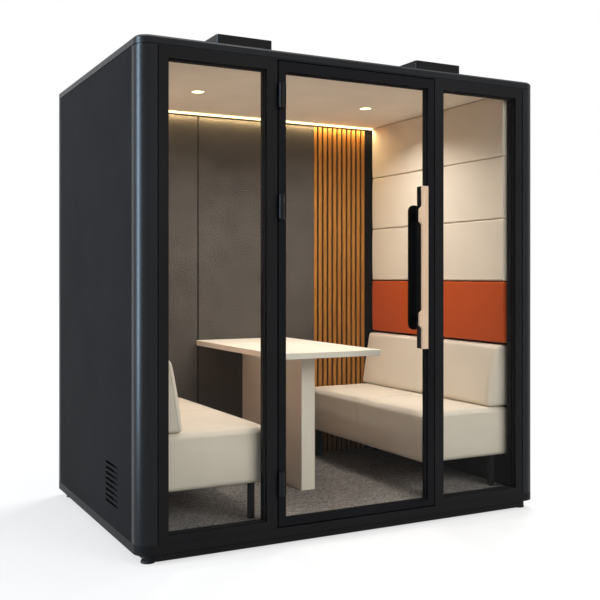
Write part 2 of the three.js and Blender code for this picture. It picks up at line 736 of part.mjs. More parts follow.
// The wooden face widens towards the hinges at each post, with slanted ends.
function outerPullFace() {
  const y = [-PULL_REACH, -PULL_REACH + PULL_FACE];
  const [left, right] = grown([PULL_X, PULL_X], PULL_WIDTH / 2);
  const [bottom, top] = grown([pullHeight(0), pullHeight(0)], PULL_LENGTH / 2);
  const outline = [[left, bottom], [right, bottom], [right, top], [left, top]];
  [...PULL_POSTS].reverse().forEach((offset) => {
    const [bumpBottom, bumpTop] = grown([pullHeight(offset), pullHeight(offset)], PULL_BUMP_LENGTH / 2);
    outline.push([left, bumpTop]);
    outline.push([left - PULL_BUMP, bumpTop - PULL_BUMP]);
    outline.push([left - PULL_BUMP, bumpBottom + PULL_BUMP]);
    outline.push([left, bumpBottom]);
  });
  return slab(new THREE.Shape(outline.map(([x, z]) => new THREE.Vector2(x, z))), y);
}

function innerPull() {
  const gripFront = GLASS_BACK + INNER_PULL_STANDOFF;
  const grip = slab(
    roundedRectangle(
      grown([PULL_X, PULL_X], INNER_PULL_SIZE / 2),
      grown([pullHeight(0), pullHeight(0)], INNER_PULL_LENGTH / 2),
      PULL_CORNER,
    ),
    [gripFront, gripFront + INNER_PULL_SIZE],
  );
  const posts = PULL_POSTS.flatMap((offset) => [
    crossRod(
      PULL_POST_RADIUS,
      [GLASS_BACK + FIT_GAP, gripFront + INNER_PULL_SIZE / 2],
      PULL_X,
      pullHeight(offset),
    ),
    crossRod(STUD_RADIUS, [GLASS_FRONT - STUD_BITE, gripFront], PULL_X, pullHeight(offset)),
  ]);
  return join(grip, ...posts);
}

// Wall pads: a flat panel with notched seams between its rows, drawn from front to rear.
function wallPad(sign, [z0, z1], seams) {
  const y = [CABIN_FRONT, LINING_FACE - FIT_GAP];
  const face = LINING_SIDE - PAD_THICKNESS;
  const outline = [[LINING_SIDE, z0], [LINING_SIDE, z1], [face, z1]];
  seams.forEach((seam) => {
    outline.push([face, seam + PAD_SEAM_WIDTH / 2]);
    outline.push([face + PAD_SEAM_DEPTH, seam]);
    outline.push([face, seam - PAD_SEAM_WIDTH / 2]);
  });
  outline.push([face, z0]);
  const points = outline.map(([x, z]) => new THREE.Vector2(sign * x, z));
  return slab(new THREE.Shape(points), y);
}

function upperPad(sign) {
  const top = CEILING - FIT_GAP;
  const seams = Array.from({ length: PAD_ROWS - 1 }, (_, row) => top - (row + 1) * PAD_ROW);
  return wallPad(sign, [PADS_BOTTOM, top], seams);
}

const accentPad = (sign) => wallPad(sign, [BACK_TOP + PAD_GAP, PADS_BOTTOM - PAD_GAP], []);

// Rear lining: felt up to the slats, then a backing board with upright slats.
const liningHeight = () => [CARPET_TOP + FIT_GAP, LINING_TOP];

function feltLining() {
  const panel = block([-LINING_SIDE, SLATS_LEFT - FIT_GAP], [LINING_FACE, LINING_BACK], liningHeight());
  const groove = block(
    [FELT_GROOVE_X - FELT_GROOVE / 2, FELT_GROOVE_X + FELT_GROOVE / 2],
    [LINING_FACE - CUT_OVERRUN, LINING_FACE + FELT_GROOVE],
    grown(liningHeight(), CUT_OVERRUN),
  );
  return cut(panel, groove);
}

function slatPanel() {
  const slatBack = LINING_FACE + SLAT_THICKNESS;
  const backing = block([SLATS_LEFT, LINING_SIDE], [slatBack, LINING_BACK], liningHeight());
  const slats = Array.from({ length: SLAT_COUNT }, (_, index) => {
    const x = SLATS_LEFT + index * SLAT_PITCH;
    return block([x, x + SLAT_WIDTH], [LINING_FACE, slatBack + SLAT_BITE], liningHeight());
  });
  return join(backing, ...slats);
}

function ledStrip() {
  const x = LINING_SIDE - PAD_THICKNESS - FIT_GAP;
  const y = [LINING_FACE - LED_SIZE, LINING_FACE];
  return block([-x, x], y, [CEILING - FIT_GAP - LED_SIZE, CEILING - FIT_GAP]);
}

// Downlight about its own axis, with the ceiling at height 0.
function downlight() {
  return turned([
    [0, -FIT_GAP - DOWNLIGHT_BEZEL],
    [DOWNLIGHT_RADIUS - DOWNLIGHT_BEZEL, -FIT_GAP - DOWNLIGHT_BEZEL],
    [DOWNLIGHT_RADIUS, -FIT_GAP],
    [DOWNLIGHT_RADIUS - DOWNLIGHT_RIM, -FIT_GAP],
    [DOWNLIGHT_RADIUS - DOWNLIGHT_RIM, CEILING_THICKNESS],
    [0, CEILING_THICKNESS],
  ]);
}

// Benches: an upholstered block over a plywood carcass on short legs, and a raked back cushion.
const benchY = () => [BENCH_FRONT, LINING_FACE - FIT_GAP];
const benchX = (sign) => onSide(sign, LINING_SIDE - SEAT_DEPTH, LINING_SIDE);
const carcassTop = () => SEAT_LEVEL - SEAT_TOP - FIT_GAP;

function carcass(sign, gap) {
  return block(
    grown(benchX(sign), -SEAT_SIDE + gap),
    grown(benchY(), -SEAT_SIDE + gap),
    [SEAT_UNDERSIDE - gap, carcassTop() + gap],
  );
}

function benchFrame(sign) {
  const x = grown(benchX(sign), -SEAT_SIDE);
  const y = grown(benchY(), -SEAT_SIDE);
  const hollow = block(
    grown(x, -CARCASS_WALL),
    grown(y, -CARCASS_WALL),
    [SEAT_UNDERSIDE - CUT_OVERRUN, carcassTop() - CARCASS_WALL],
  );
  const legs = [x[0] + LEG_INSET, x[1] - LEG_INSET - LEG_SIZE].flatMap((legX) =>
    [y[0] + LEG_INSET, y[1] - LEG_INSET - LEG_SIZE].map((legY) =>
      block(
        [legX, legX + LEG_SIZE],
        [legY, legY + LEG_SIZE],
        [CARPET_TOP + FIT_GAP, carcassTop() - CARCASS_WALL / 2],
      ),
    ),
  );
  return join(cut(carcass(sign, 0), hollow), ...legs);
}

function seatCushion(sign) {
  const block2d = roundedRectangle(benchX(sign), [SEAT_UNDERSIDE, SEAT_LEVEL], SEAT_CORNER);
  return cut(slab(block2d, benchY()), carcass(sign, FIT_GAP));
}

function backCushion(sign) {
  const bottom = SEAT_LEVEL + FIT_GAP;
  const head = LINING_SIDE - BACK_HEAD;
  const outline = new THREE.Shape();
  outline.moveTo(sign * LINING_SIDE, bottom);
  outline.lineTo(sign * LINING_SIDE, BACK_TOP);
  outline.lineTo(sign * (head + BACK_CORNER), BACK_TOP);
  outline.quadraticCurveTo(sign * head, BACK_TOP, sign * head, BACK_TOP - BACK_CORNER);
  outline.lineTo(sign * (LINING_SIDE - BACK_FOOT), bottom);
  return slab(outline, benchY());
}

function tableTop() {
  const y = [LINING_FACE - FIT_GAP - TABLE_LENGTH, LINING_FACE - FIT_GAP];
  const top = CARPET_TOP + TABLE_HEIGHT;
  const outline = roundedRectangle([-TABLE_WIDTH / 2, TABLE_WIDTH / 2], y, TABLE_CORNER);
  return prism(outline, [top - TABLE_THICKNESS, top]);
}

function tableLeg() {
  const rear = LINING_FACE - FIT_GAP - TABLE_LEG_REAR;
  return block(
    [-TABLE_LEG_WIDTH / 2, TABLE_LEG_WIDTH / 2],
    [rear - TABLE_LEG_LENGTH, rear],
    [CARPET_TOP + FIT_GAP, CARPET_TOP + TABLE_HEIGHT - TABLE_THICKNESS - FIT_GAP],
  );
}

// The whole pod, with the front plane of its shell at FRONT_Y
const root = new THREE.Group();
const pod = place(root, 0, FRONT_Y, 0);

piece(pod, "base_frame", baseFrame(), FRAME_PAINT);
for (const [corner, x, y] of footPlaces()) {
  piece(place(pod, x, y, 0), "levelling_foot_" + corner, levellingFoot(), RUBBER);
}
piece(pod, "floor_deck", floorDeck(), PLYWOOD);
piece(
  pod,
  "carpet",
  block([-LINING_SIDE, LINING_SIDE], [CABIN_FRONT, LINING_BACK], [DECK_TOP + FIT_GAP, CARPET_TOP]),
  CARPET_PILE,
);
for (const [end, signY] of [["front", 1], ["rear", -1]]) {
  for (const [side, sign] of SIDES) {
    piece(pod, "corner_post_" + end + "_" + side, cornerPost(-sign, signY), SHELL_PAINT);
  }
}
piece(pod, "rear_panel", rearPanel(), SHELL_PAINT);
piece(pod, "rear_core", rearCore(), CORE_BOARD);
piece(pod, "roof_cap", roofCap(), SHELL_PAINT);
piece(pod, "ceiling_panel", ceilingPanel(), CEILING_BOARD);
piece(pod, "felt_lining", feltLining(), FELT);
piece(pod, "slat_panel", slatPanel(), OAK);
piece(pod, "led_strip", ledStrip(), LAMP);

for (const [side, sign] of SIDES) {
  piece(pod, "side_panel_" + side, sidePanel(sign), SHELL_PAINT);
  piece(pod, "side_core_" + side, sideCore(sign), CORE_BOARD);
  piece(pod, "wall_pad_" + side, upperPad(sign), CREAM_COVER);
  piece(pod, "accent_pad_" + side, accentPad(sign), ORANGE_COVER);
  piece(pod, "window_frame_" + side, windowFrame(sign), FRAME_PAINT);
  piece(pod, "window_glass_" + side, pane(windowOpening(sign)), GLASS);
  piece(pod, "bench_frame_" + side, benchFrame(sign), BLACK_BOARD);
  piece(pod, "seat_cushion_" + side, seatCushion(sign), CREAM_COVER);
  piece(pod, "back_cushion_" + side, backCushion(sign), CREAM_COVER);
  const lamp = place(pod, sign * DOWNLIGHT_X, DOWNLIGHT_Y, CEILING);
  piece(lamp, "downlight_" + side, downlight(), LAMP);
  const fanX = sign > 0 ? FAN_RIGHT_X : FAN_LEFT_X;
  const fan = place(pod, fanX, FAN_FRONT + FAN_SIZE / 2, ROOF_TOP + FIT_GAP);
  piece(fan, "fan_housing_" + side, fanHousing(), BLACK_METAL);
  piece(fan, "fan_rotor_" + side, fanRotor(), BLACK_PLASTIC);
}

piece(pod, "table_top", tableTop(), LAMINATE);
piece(pod, "table_leg", tableLeg(), LAMINATE);

piece(pod, "door_surround", doorSurround(), FRAME_PAINT);
piece(pod, "door_seal", doorSeal(), RUBBER);
piece(pod, "door_frame", doorFrame(), FRAME_PAINT);
piece(pod, "door_glass", doorGlass(), GLASS);
piece(pod, "outer_pull_body", outerPullBody(), BLACK_METAL);
piece(pod, "outer_pull_face", outerPullFace(), BEECH);
piece(pod, "inner_pull", innerPull(), BLACK_METAL);
for (const [level, height] of HINGES) {
  const hinge = place(pod, HINGE_X, -HINGE_STANDOFF, BASE_TOP + height);
  piece(hinge, "hinge_frame_leaf_" + level, hingeFrameLeaf(), BLACK_METAL);
  piece(hinge, "hinge_door_leaf_" + level, hingeDoorLeaf(), BLACK_METAL);
  piece(hinge, "hinge_pin_" + level, hingePin(), STEEL);
}

export default root;
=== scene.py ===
"""Looks of a free-standing acoustic office pod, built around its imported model.

Metres. +X runs along the glazed front to the right, +Y runs into the pod and +Z is up.
"""

import json
import math
from itertools import product

import bmesh
import bpy
from mathutils import Matrix, Vector
from mathutils.bvhtree import BVHTree


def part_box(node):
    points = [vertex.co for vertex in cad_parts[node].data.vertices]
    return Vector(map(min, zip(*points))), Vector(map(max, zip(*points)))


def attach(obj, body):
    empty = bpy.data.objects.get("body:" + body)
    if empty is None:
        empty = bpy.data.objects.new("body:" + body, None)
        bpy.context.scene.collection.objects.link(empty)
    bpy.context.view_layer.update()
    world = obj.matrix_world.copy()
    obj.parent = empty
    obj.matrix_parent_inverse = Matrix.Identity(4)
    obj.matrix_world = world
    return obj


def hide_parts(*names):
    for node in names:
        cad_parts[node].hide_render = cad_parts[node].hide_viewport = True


# Camera, at the photograph's angle
CAMERA_PLACE = (-2.288, -4.4595, 1.2366)
CAMERA_TURN = math.radians(-27.70)
CAMERA_LENS = 54.77
CAMERA_SENSOR = 36.0
CAMERA_SHIFT = -0.0392

# Edge softening of the rigid pieces
WELD = 1e-5
SMOOTH_ANGLE = math.radians(32)
BEVEL_ANGLE = math.radians(25)
FLAT_ANGLE = math.radians(0.5)
BEVELS = {
    "shell_paint": 0.0012,
    "post_paint": 0.0012,
    "frame_paint": 0.0016,
    "black_metal": 0.0012,
    "beech": 0.0025,
    "laminate": 0.0025,
    "felt": 0.0015,
    "ceiling_board": 0.0015,
    "black_board": 0.0015,
}
BEVEL_STEPS = 2
FLAT_WEIGHT = 100  # large faces keep their own normal up to the rounded edge

# Upholstery
CUSHION_PITCH = 0.018
ROUND_STEPS = 4
SIM_FRAMES = 20
PRESSURE = 4.0
CALM_ROUNDS = 30
CALM_SHARE = 0.6
TINY = 1e-9
REST_MARGIN = 0.004  # points this near to what carries a cushion stay put
COVER_GAP = 0.001  # cushion to the wall behind it
SEAT_RISE = 0.004  # cushion underside above the bench frame's underside
SEAT_ROUND = 0.022
SEAT_CROWN = 0.009
EDGE_SHARE = 0.3  # of the rounding, where a seam crosses the edge's middle
WELT_FOOT = 0.5  # of the rounding, where the welt ends above the underside
SEAM_DROP = 0.9  # of the rounding, from the seat's top down to its end seam
BACK_RISE = 0.0005
BACK_ROUND = 0.02
BACK_CROWN = 0.008
BACK_RAKE = 0.058  # head of the back cushion behind its foot
RIM_IN = 0.4  # of the rounding, where the rim's seam turns over the top
RIM_DOWN = 0.2
PAD_ROWS = 3
PAD_ROUND = 0.007
PAD_CROWN = 0.005
PAD_GAP = 0.0004
PAD_FREE = 0.002  # cover free to swell, beyond the rounding
CHANNEL_DEPTH = 0.006
CHANNEL_WIDTH = 0.006
CHANNEL_REACH = 0.022
CHANNEL_LINES = (-0.018, -0.012, -0.008, -0.0045, -0.0015, 0.0015, 0.0045, 0.008, 0.012, 0.018)
WELT_RADIUS = 0.0028
WELT_PITCH = 0.008
SEAT_WELT_REAR = 0.13  # the welt runs under the back cushion's foot
SEAM_RADIUS = 0.0014
SEAM_PITCH = 0.01
STITCH_PITCH = 0.010
STITCH_LENGTH = 0.0062
STITCH_RADIUS = 0.0008
STITCH_LIFT = 0.4  # of the radius
STITCH_SIDES = 6
STITCH_OFFSET = 0.011

# Glazing and hardware
GLASS_EDGE = 0.006
GASKET_WIDTH = 0.006
GASKET_DEPTH = 0.005
GASKET_GAP = 0.0002
GASKET_ROUND = 0.001
LENS_RADIUS = 0.031
LENS_SINK = 0.004  # lens edge above the ceiling's face
LENS_TOP = 0.012
LENS_MIDDLE = 0.0012
LENS_BELLY = (0.6, 0.0016)  # share of the radius, height
BEZEL_CLEARANCE = 0.0015
BEZEL_EASE = 0.002
BEZEL_LIP = 0.0006
BEZEL_DISH = 0.0004
BEZEL_SHOULDER = 0.0022
BEZEL_RIM = 0.003
BEZEL_STEP = 0.005
BEZEL_TOP = 0.024
GUARD_WIRE = 0.0015
GUARD_RINGS = (0.048, 0.066, 0.084, 0.102)
GUARD_DROP = 0.0035  # rings below the top of the housing
HINGE_DOME = ((0, 0.003), (0.006, 0.0026), (0.0105, 0.0014), (0.0125, 0), (0, 0))  # radius, height
HINGE_DOME_SIDES = 32

# Linings
GROOVE_X = -0.285
GROOVE_WIDTH = 0.0078
GROOVE_SINK = 0.004
GROOVE_END = 0.001
GROOVE_STRIP = 0.002
CEILING_JOINT = 0.004
JOINT_FRONT = 0.002
JOINT_REAR = 0.03
JOINT_PROUD = 0.0008
JOINT_SET = 0.0015
SLAT_COUNT = 11
SLAT_PITCH = 0.0356
SLAT_WIDTH = 0.023
SLAT_DEPTH = 0.013
SLAT_ROUND = 0.002
BACKING_ROUND = 0.0008

# Studio
POD_MIDDLE = (0.0, 0.0, 1.1)
FLOOR_REACH = 40.0
FLOOR_DROP = 0.0005
FLOOR_GLOW = 1.06
FLOOR_TONE = 0.28
FLOOR_WHITE = 0.9  # the floor's tone where it is seen
GLOW_NEAR = 1.6  # from the middle of the pod
GLOW_FAR = 3.6
GLOW_LEAST = 0.62  # share of the glow near the pod, where the shadow lies
WORLD_LEVEL = 0.16
SKY = (0.95, 0.97, 1.0, 1.0)
NEUTRAL = (1.0, 0.98, 0.96)
DAYLIGHT = (1.0, 0.955, 0.92)
COOL = (0.76, 0.88, 1.0)
BLUE = (0.6, 0.8, 1.0)
WARM = (1.0, 0.965, 0.925)
GOLDEN = (1.0, 0.74, 0.38)
CABIN_X = 0.1
CABIN_Y = -0.3
CABIN_DROP = 0.03  # cabin lamp below the ceiling
CABIN_SIZE = (0.7, 0.6)
COVE_FRONT = 0.004
COVE_DROP = 0.006
COVE_AIM = (0.03, -0.5)  # towards the wall and down, from the strip
COVE_WIDTH = 0.008
BEAM_DROP = 0.004
BEAM_SIZE = (0.06, 0.06)

SIDES = (("left", -1), ("right", 1))
LEVELS = ("top", "middle", "bottom")
PANES = (("window_glass_left", "shell"), ("window_glass_right", "shell"), ("door_glass", "door"))

# Shader values
FLUFF_FINENESS = 3.1  # loose fibres against a felt's own grain
SLANT_POWER = 5.0

# Sockets of the Mix node for colours
MIX_FIRST = 6
MIX_SECOND = 7
MIX_RESULT = 2

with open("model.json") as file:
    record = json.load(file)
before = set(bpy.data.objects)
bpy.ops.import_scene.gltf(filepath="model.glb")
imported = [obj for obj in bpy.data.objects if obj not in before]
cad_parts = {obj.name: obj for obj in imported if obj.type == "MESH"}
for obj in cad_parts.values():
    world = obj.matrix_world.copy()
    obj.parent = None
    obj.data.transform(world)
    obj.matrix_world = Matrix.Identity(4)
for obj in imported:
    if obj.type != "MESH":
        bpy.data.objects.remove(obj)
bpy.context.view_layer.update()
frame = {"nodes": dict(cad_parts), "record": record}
NODES = frame["nodes"]
SLOT_OF = {part["node"]: part["material_slot"] for part in frame["record"]["subparts"]}


# Shader helpers


def linear(channel):
    """An sRGB channel of 0 to 255 as a linear share, by the standard's own formula."""
    share = channel / 255
    if share <= 0.04045:
        return share / 12.92
    return ((share + 0.055) / 1.055) ** 2.4


def srgb(red, green, blue):
    return (linear(red), linear(green), linear(blue), 1.0)


def scaled(colour, factor):
    return tuple(channel * factor for channel in colour[:3]) + (1.0,)


def add(tree, kind, values=None, links=None, **settings):
    made = tree.nodes.new(kind)
    for name, value in settings.items():
        setattr(made, name, value)
    for socket, value in (values or {}).items():
        made.inputs[socket].default_value = value
    for socket, source in (links or {}).items():
        tree.links.new(source, made.inputs[socket])
    return made


def start(name, values):
    """A new material with its tree and its shader, whose constant sockets are set."""
    material = bpy.data.materials.new(name)
    material.use_nodes = True
    tree = material.node_tree
    shader = tree.nodes["Principled BSDF"]
    for socket, value in values.items():
        shader.inputs[socket].default_value = value
    return material, tree, shader


def place(tree, stretch=(1.0, 1.0, 1.0)):
    where = add(tree, "ShaderNodeTexCoord")
    mapped = add(tree, "ShaderNodeMapping", {"Scale": stretch}, {"Vector": where.outputs["Object"]})
    return mapped.outputs["Vector"]


def noise(tree, vector, scale, detail=2.0, roughness=0.5, distortion=0.0):
    values = {"Scale": scale, "Detail": detail, "Roughness": roughness, "Distortion": distortion}
    return add(tree, "ShaderNodeTexNoise", values, {"Vector": vector}).outputs["Fac"]


def cells(tree, vector, scale):
    made = add(tree, "ShaderNodeTexVoronoi", {"Scale": scale}, {"Vector": vector}, feature="SMOOTH_F1")
    return made.outputs["Distance"]


def ramp(tree, factor, *stops):
    made = add(tree, "ShaderNodeValToRGB", None, {"Fac": factor})
    elements = made.color_ramp.elements
    for index, (position, colour) in enumerate(stops):
        element = elements[index] if index < 2 else elements.new(position)
        element.position = position
        element.color = colour
    return made.outputs["Color"]


def blend(tree, factor, first, second):
    made = add(tree, "ShaderNodeMix", data_type="RGBA")
    sockets = (made.inputs["Factor"], made.inputs[MIX_FIRST], made.inputs[MIX_SECOND])
    for socket, value in zip(sockets, (factor, first, second)):
        if isinstance(value, bpy.types.NodeSocket):
            tree.links.new(value, socket)
        else:
            socket.default_value = value
    return made.outputs[MIX_RESULT]


def spread(tree, factor, low, high):
    made = add(tree, "ShaderNodeMapRange", {"To Min": low, "To Max": high}, {"Value": factor})
    return made.outputs["Result"]


def total(tree, first, second, share):
    """first plus share times second"""
    made = add(tree, "ShaderNodeMath", {1: share}, {0: second, 2: first}, operation="MULTIPLY_ADD")
    return made.outputs["Value"]


def bump(tree, shader, height, distance, strength=1.0):
    values = {"Strength": strength, "Distance": distance}
    made = add(tree, "ShaderNodeBump", values, {"Height": height})
    tree.links.new(made.outputs["Normal"], shader.inputs["Normal"])


def wire(tree, shader, **sources):
    for name, source in sources.items():
        tree.links.new(source, shader.inputs[name.replace("_", " ")])


# Finishes


def tones(tree, factor, colour, dark, pale, low_stop=0.3, high_stop=0.7):
    """A colour that goes from dark times itself to pale times itself between two stops."""
    return ramp(tree, factor, (low_stop, scaled(colour, dark)), (high_stop, scaled(colour, pale)))


def around(tree, factor, middle, reach):
    return spread(tree, factor, middle - reach, middle + reach)


def paint(name, colour, roughness, shine):
    """Powder coat: fine orange peel, slight clouding and uneven gloss."""
    material, tree, shader = start(name, {"Specular IOR Level": shine})
    at = place(tree)
    cloud = noise(tree, at, scale=2.2, detail=3.0)
    colours = tones(tree, cloud, colour, dark=0.86, pale=1.14)
    gloss = around(tree, noise(tree, at, scale=35.0), roughness, reach=0.06)
    wire(tree, shader, Base_Color=colours, Roughness=gloss)
    bump(tree, shader, noise(tree, at, scale=650.0), distance=0.0002, strength=0.2)
    return material


def cover(name, colour):
    """Upholstery leatherette: pebbled grain, soft sheen and a little unevenness of tone."""
    constants = {"Specular IOR Level": 0.15, "Sheen Weight": 0.08, "Sheen Roughness": 0.5}
    material, tree, shader = start(name, constants)
    at = place(tree)
    cloud = noise(tree, at, scale=3.0, detail=3.0)
    tone = total(tree, cloud, noise(tree, at, scale=120.0, detail=3.0), share=0.25)
    colours = tones(tree, tone, colour, dark=0.93, pale=1.05, low_stop=0.35, high_stop=0.9)
    grain = total(tree, cells(tree, at, scale=420.0), noise(tree, at, scale=900.0), share=0.35)
    gloss = around(tree, noise(tree, at, scale=60.0), middle=0.57, reach=0.07)
    wire(tree, shader, Base_Color=colours, Roughness=gloss)
    bump(tree, shader, grain, distance=0.0006, strength=0.5)
    return material


def felt(name, colour, contrast, grain, depth):
    """Pressed felt or pile: mottled fibres over a slow cloudiness."""
    constants = {"Roughness": 1.0, "Specular IOR Level": 0.1, "Sheen Weight": 0.1}
    material, tree, shader = start(name, constants)
    at = place(tree)
    fibre = noise(tree, at, grain, detail=5.0, roughness=0.72)
    tone = total(tree, fibre, noise(tree, at, scale=7.0, detail=3.0), share=0.12)
    colours = tones(tree, tone, colour, dark=1 - contrast, pale=1 + contrast, low_stop=0.4, high_stop=0.72)
    wire(tree, shader, Base_Color=colours)
    fluff = noise(tree, at, grain * FLUFF_FINENESS)
    bump(tree, shader, total(tree, fibre, fluff, share=0.5), depth, strength=0.8)
    return material


def wood(name, pale, dark, stretch, roughness):
    """Straight-grained timber, with its grain along the axis that is stretched least."""
    material, tree, shader = start(name, {"Specular IOR Level": 0.35})
    at = place(tree, stretch)
    rings = noise(tree, at, scale=9.0, detail=6.0, roughness=0.62, distortion=0.6)
    pores = noise(tree, at, scale=60.0, detail=3.0, roughness=0.6)
    tone = total(tree, rings, pores, share=0.35)
    middle = tuple((first + second) / 2 for first, second in zip(pale, dark))
    colours = ramp(tree, tone, (0.4, dark), (0.62, middle), (0.88, pale))
    wire(tree, shader, Base_Color=colours, Roughness=around(tree, pores, roughness, reach=0.08))
    bump(tree, shader, pores, distance=0.0004, strength=0.4)
    return material


def board(name, colour, roughness, grain=300.0, depth=0.0002):
    """Laminate, board, plastic, rubber or thread: near-even colour with a fine texture."""
    material, tree, shader = start(name, {"Specular IOR Level": 0.35})
    at = place(tree)
    fine = noise(tree, at, grain, detail=3.0)
    tone = total(tree, noise(tree, at, scale=4.0, detail=3.0), fine, share=0.3)
    colours = tones(tree, tone, colour, dark=0.95, pale=1.04, low_stop=0.4, high_stop=0.85)
    gloss = around(tree, noise(tree, at, scale=24.0), roughness, reach=0.05)
    wire(tree, shader, Base_Color=colours, Roughness=gloss)
    bump(tree, shader, fine, depth, strength=0.4)
    return material


def metal(name, colour, roughness):
    """Turned steel with fine lines round it."""
    material, tree, shader = start(name, {"Metallic": 1.0})
    lines = noise(tree, place(tree, stretch=(1.0, 1.0, 30.0)), scale=90.0, detail=3.0)
    colours = tones(tree, lines, colour, dark=0.85, pale=1.1)
    wire(tree, shader, Base_Color=colours, Roughness=around(tree, lines, roughness, reach=0.07))
    return material


def lamp(name, colour, glow, strength):
    """A lit diffuser, a little brighter in places."""
    material, tree, shader = start(name, {"Roughness": 0.4, "Emission Strength": strength})
    frost = noise(tree, place(tree), scale=30.0)
    wire(
        tree,
        shader,
        Base_Color=tones(tree, frost, colour, dark=0.95, pale=1.0),
        Emission_Color=tones(tree, frost, glow, dark=0.94, pale=1.0),
    )
    return material


def bare_tree(owner):
    """The emptied node tree of a material or world."""
    owner.use_nodes = True
    owner.node_tree.nodes.clear()
    return owner.node_tree


def mixed_shader(tree, share, first, second):
    return add(tree, "ShaderNodeMixShader", None, {0: share, 1: first, 2: second}).outputs["Shader"]


def glass(name, tint, least, most):
    """A clear pane: light passes straight through, and it mirrors more at a slant."""
    material = bpy.data.materials.new(name)
    tree = bare_tree(material)
    smear = noise(tree, place(tree), scale=3.0, detail=3.0)
    colours = tones(tree, smear, tint, dark=0.985, pale=1.0)
    clear = add(tree, "ShaderNodeBsdfTransparent", None, {"Color": colours})
    mirror = add(tree, "ShaderNodeBsdfGlossy", {"Roughness": 0.02})
    slant = add(tree, "ShaderNodeLayerWeight", {"Blend": 0.5})
    steep = add(tree, "ShaderNodeMath", {1: SLANT_POWER}, {0: slant.outputs["Facing"]}, operation="POWER")
    share = spread(tree, steep.outputs["Value"], least, most)
    surface = mixed_shader(tree, share, clear.outputs["BSDF"], mirror.outputs["BSDF"])
    add(tree, "ShaderNodeOutputMaterial", None, {"Surface": surface})
    return material


# Stretch of the grain: the axis that is stretched least is the one it runs along
ALONG_Y = (14.0, 1.0, 14.0)
ALONG_Z_COARSE = (16.0, 16.0, 0.9)
ALONG_Z_FINE = (18.0, 18.0, 1.0)
FINISH = {
    "shell_paint": paint("shell_paint", srgb(41, 41, 42), roughness=0.6, shine=0.01),
    "post_paint": paint("post_paint", srgb(27, 29, 32), roughness=0.34, shine=0.14),
    "frame_paint": paint("frame_paint", srgb(30, 30, 32), roughness=0.45, shine=0.06),
    "black_metal": paint("black_metal", srgb(15, 16, 18), roughness=0.36, shine=0.15),
    "black_plastic": board("black_plastic", srgb(22, 22, 23), roughness=0.55),
    "black_board": board("black_board", srgb(20, 20, 21), roughness=0.6),
    "steel": metal("steel", srgb(150, 152, 154), roughness=0.32),
    "core_board": felt("core_board", srgb(24, 24, 25), contrast=0.3, grain=180.0, depth=0.001),
    "carpet_pile": felt("carpet_pile", srgb(136, 129, 126), contrast=0.95, grain=110.0, depth=0.005),
    "plywood": wood("plywood", srgb(196, 166, 124), srgb(158, 124, 84), ALONG_Y, roughness=0.6),
    "ceiling_board": board("ceiling_board", srgb(244, 234, 222), roughness=0.85, grain=420.0, depth=0.0004),
    "felt": felt("felt", srgb(80, 75, 71), contrast=0.85, grain=130.0, depth=0.002),
    "oak": wood("oak", srgb(178, 121, 52), srgb(118, 70, 24), ALONG_Z_COARSE, roughness=0.5),
    "beech": wood("beech", srgb(238, 212, 184), srgb(212, 180, 148), ALONG_Z_FINE, roughness=0.45),
    "cream_cover": cover("cream_cover", srgb(226, 214, 199)),
    "orange_cover": cover("orange_cover", srgb(188, 76, 22)),
    "laminate": board("laminate", srgb(240, 230, 217), roughness=0.4),
    "rubber": board("rubber", srgb(16, 16, 17), roughness=0.8),
    "lamp": lamp("lamp", srgb(255, 246, 230), srgb(255, 222, 170), strength=9.0),
    "glass": glass("glass", (0.97, 0.985, 0.978, 1.0), least=0.004, most=0.6),
}
LED_GLOW = lamp("led_glow", srgb(255, 240, 214), srgb(255, 226, 170), strength=2.6)
SLAT_FELT = felt("slat_felt", srgb(9, 9, 9), contrast=0.3, grain=300.0, depth=0.001)
# Painted shade: the frame paint made darker and a little bluer for the door frame, whose real colour is that
# of the fixed frames
SHADED_DOOR_PAINT = paint("door_paint_painted_shade", srgb(24, 25, 28), roughness=0.45, shine=0.05)
STITCHES = board("stitch_thread", srgb(206, 192, 174), roughness=0.7, grain=1500.0)


# Mesh helpers


def mesh_group(name):
    """An empty geometry-nodes group that takes a mesh and gives a mesh, and its input node."""
    group = bpy.data.node_groups.new(name, "GeometryNodeTree")
    for way in ("INPUT", "OUTPUT"):
        group.interface.new_socket("Geometry", in_out=way, socket_type="NodeSocketGeometry")
    return group, add(group, "NodeGroupInput")


def smooth_group():
    """Geometry nodes that shade smooth, apart from edges sharper than the smoothing angle."""
    group, incoming = mesh_group("smooth_by_angle")
    whole = add(
        group,
        "GeometryNodeSetShadeSmooth",
        {"Shade Smooth": True},
        {"Geometry": incoming.outputs["Geometry"]},
        domain="FACE",
    )
    angle = add(group, "GeometryNodeInputMeshEdgeAngle")
    sharp = add(
        group,
        "FunctionNodeCompare",
        {1: SMOOTH_ANGLE},
        {0: angle.outputs["Unsigned Angle"]},
        data_type="FLOAT",
        operation="GREATER_THAN",
    )
    edges = add(
        group,
        "GeometryNodeSetShadeSmooth",
        {"Shade Smooth": False},
        {"Geometry": whole.outputs["Geometry"], "Selection": sharp.outputs["Result"]},
        domain="EDGE",
    )
    add(group, "NodeGroupOutput", None, {"Geometry": edges.outputs["Geometry"]})
    return group


def weld_group():
    """Geometry nodes that drop stored normals and join corners that were split."""
    group, incoming = mesh_group("weld_corners")
    bare = add(
        group,
        "GeometryNodeRemoveAttribute",
        {"Name": "custom_normal"},
        {"Geometry": incoming.outputs["Geometry"]},
    )
    welded = add(
        group,
        "GeometryNodeMergeByDistance",
        {"Distance": WELD},
        {"Geometry": bare.outputs["Geometry"]},
    )
    add(group, "NodeGroupOutput", None, {"Geometry": welded.outputs["Geometry"]})
    return group


SMOOTH_BY_ANGLE = smooth_group()
WELD_CORNERS = weld_group()


def run_group(target, group):
    target.modifiers.new(group.name, "NODES").node_group = group


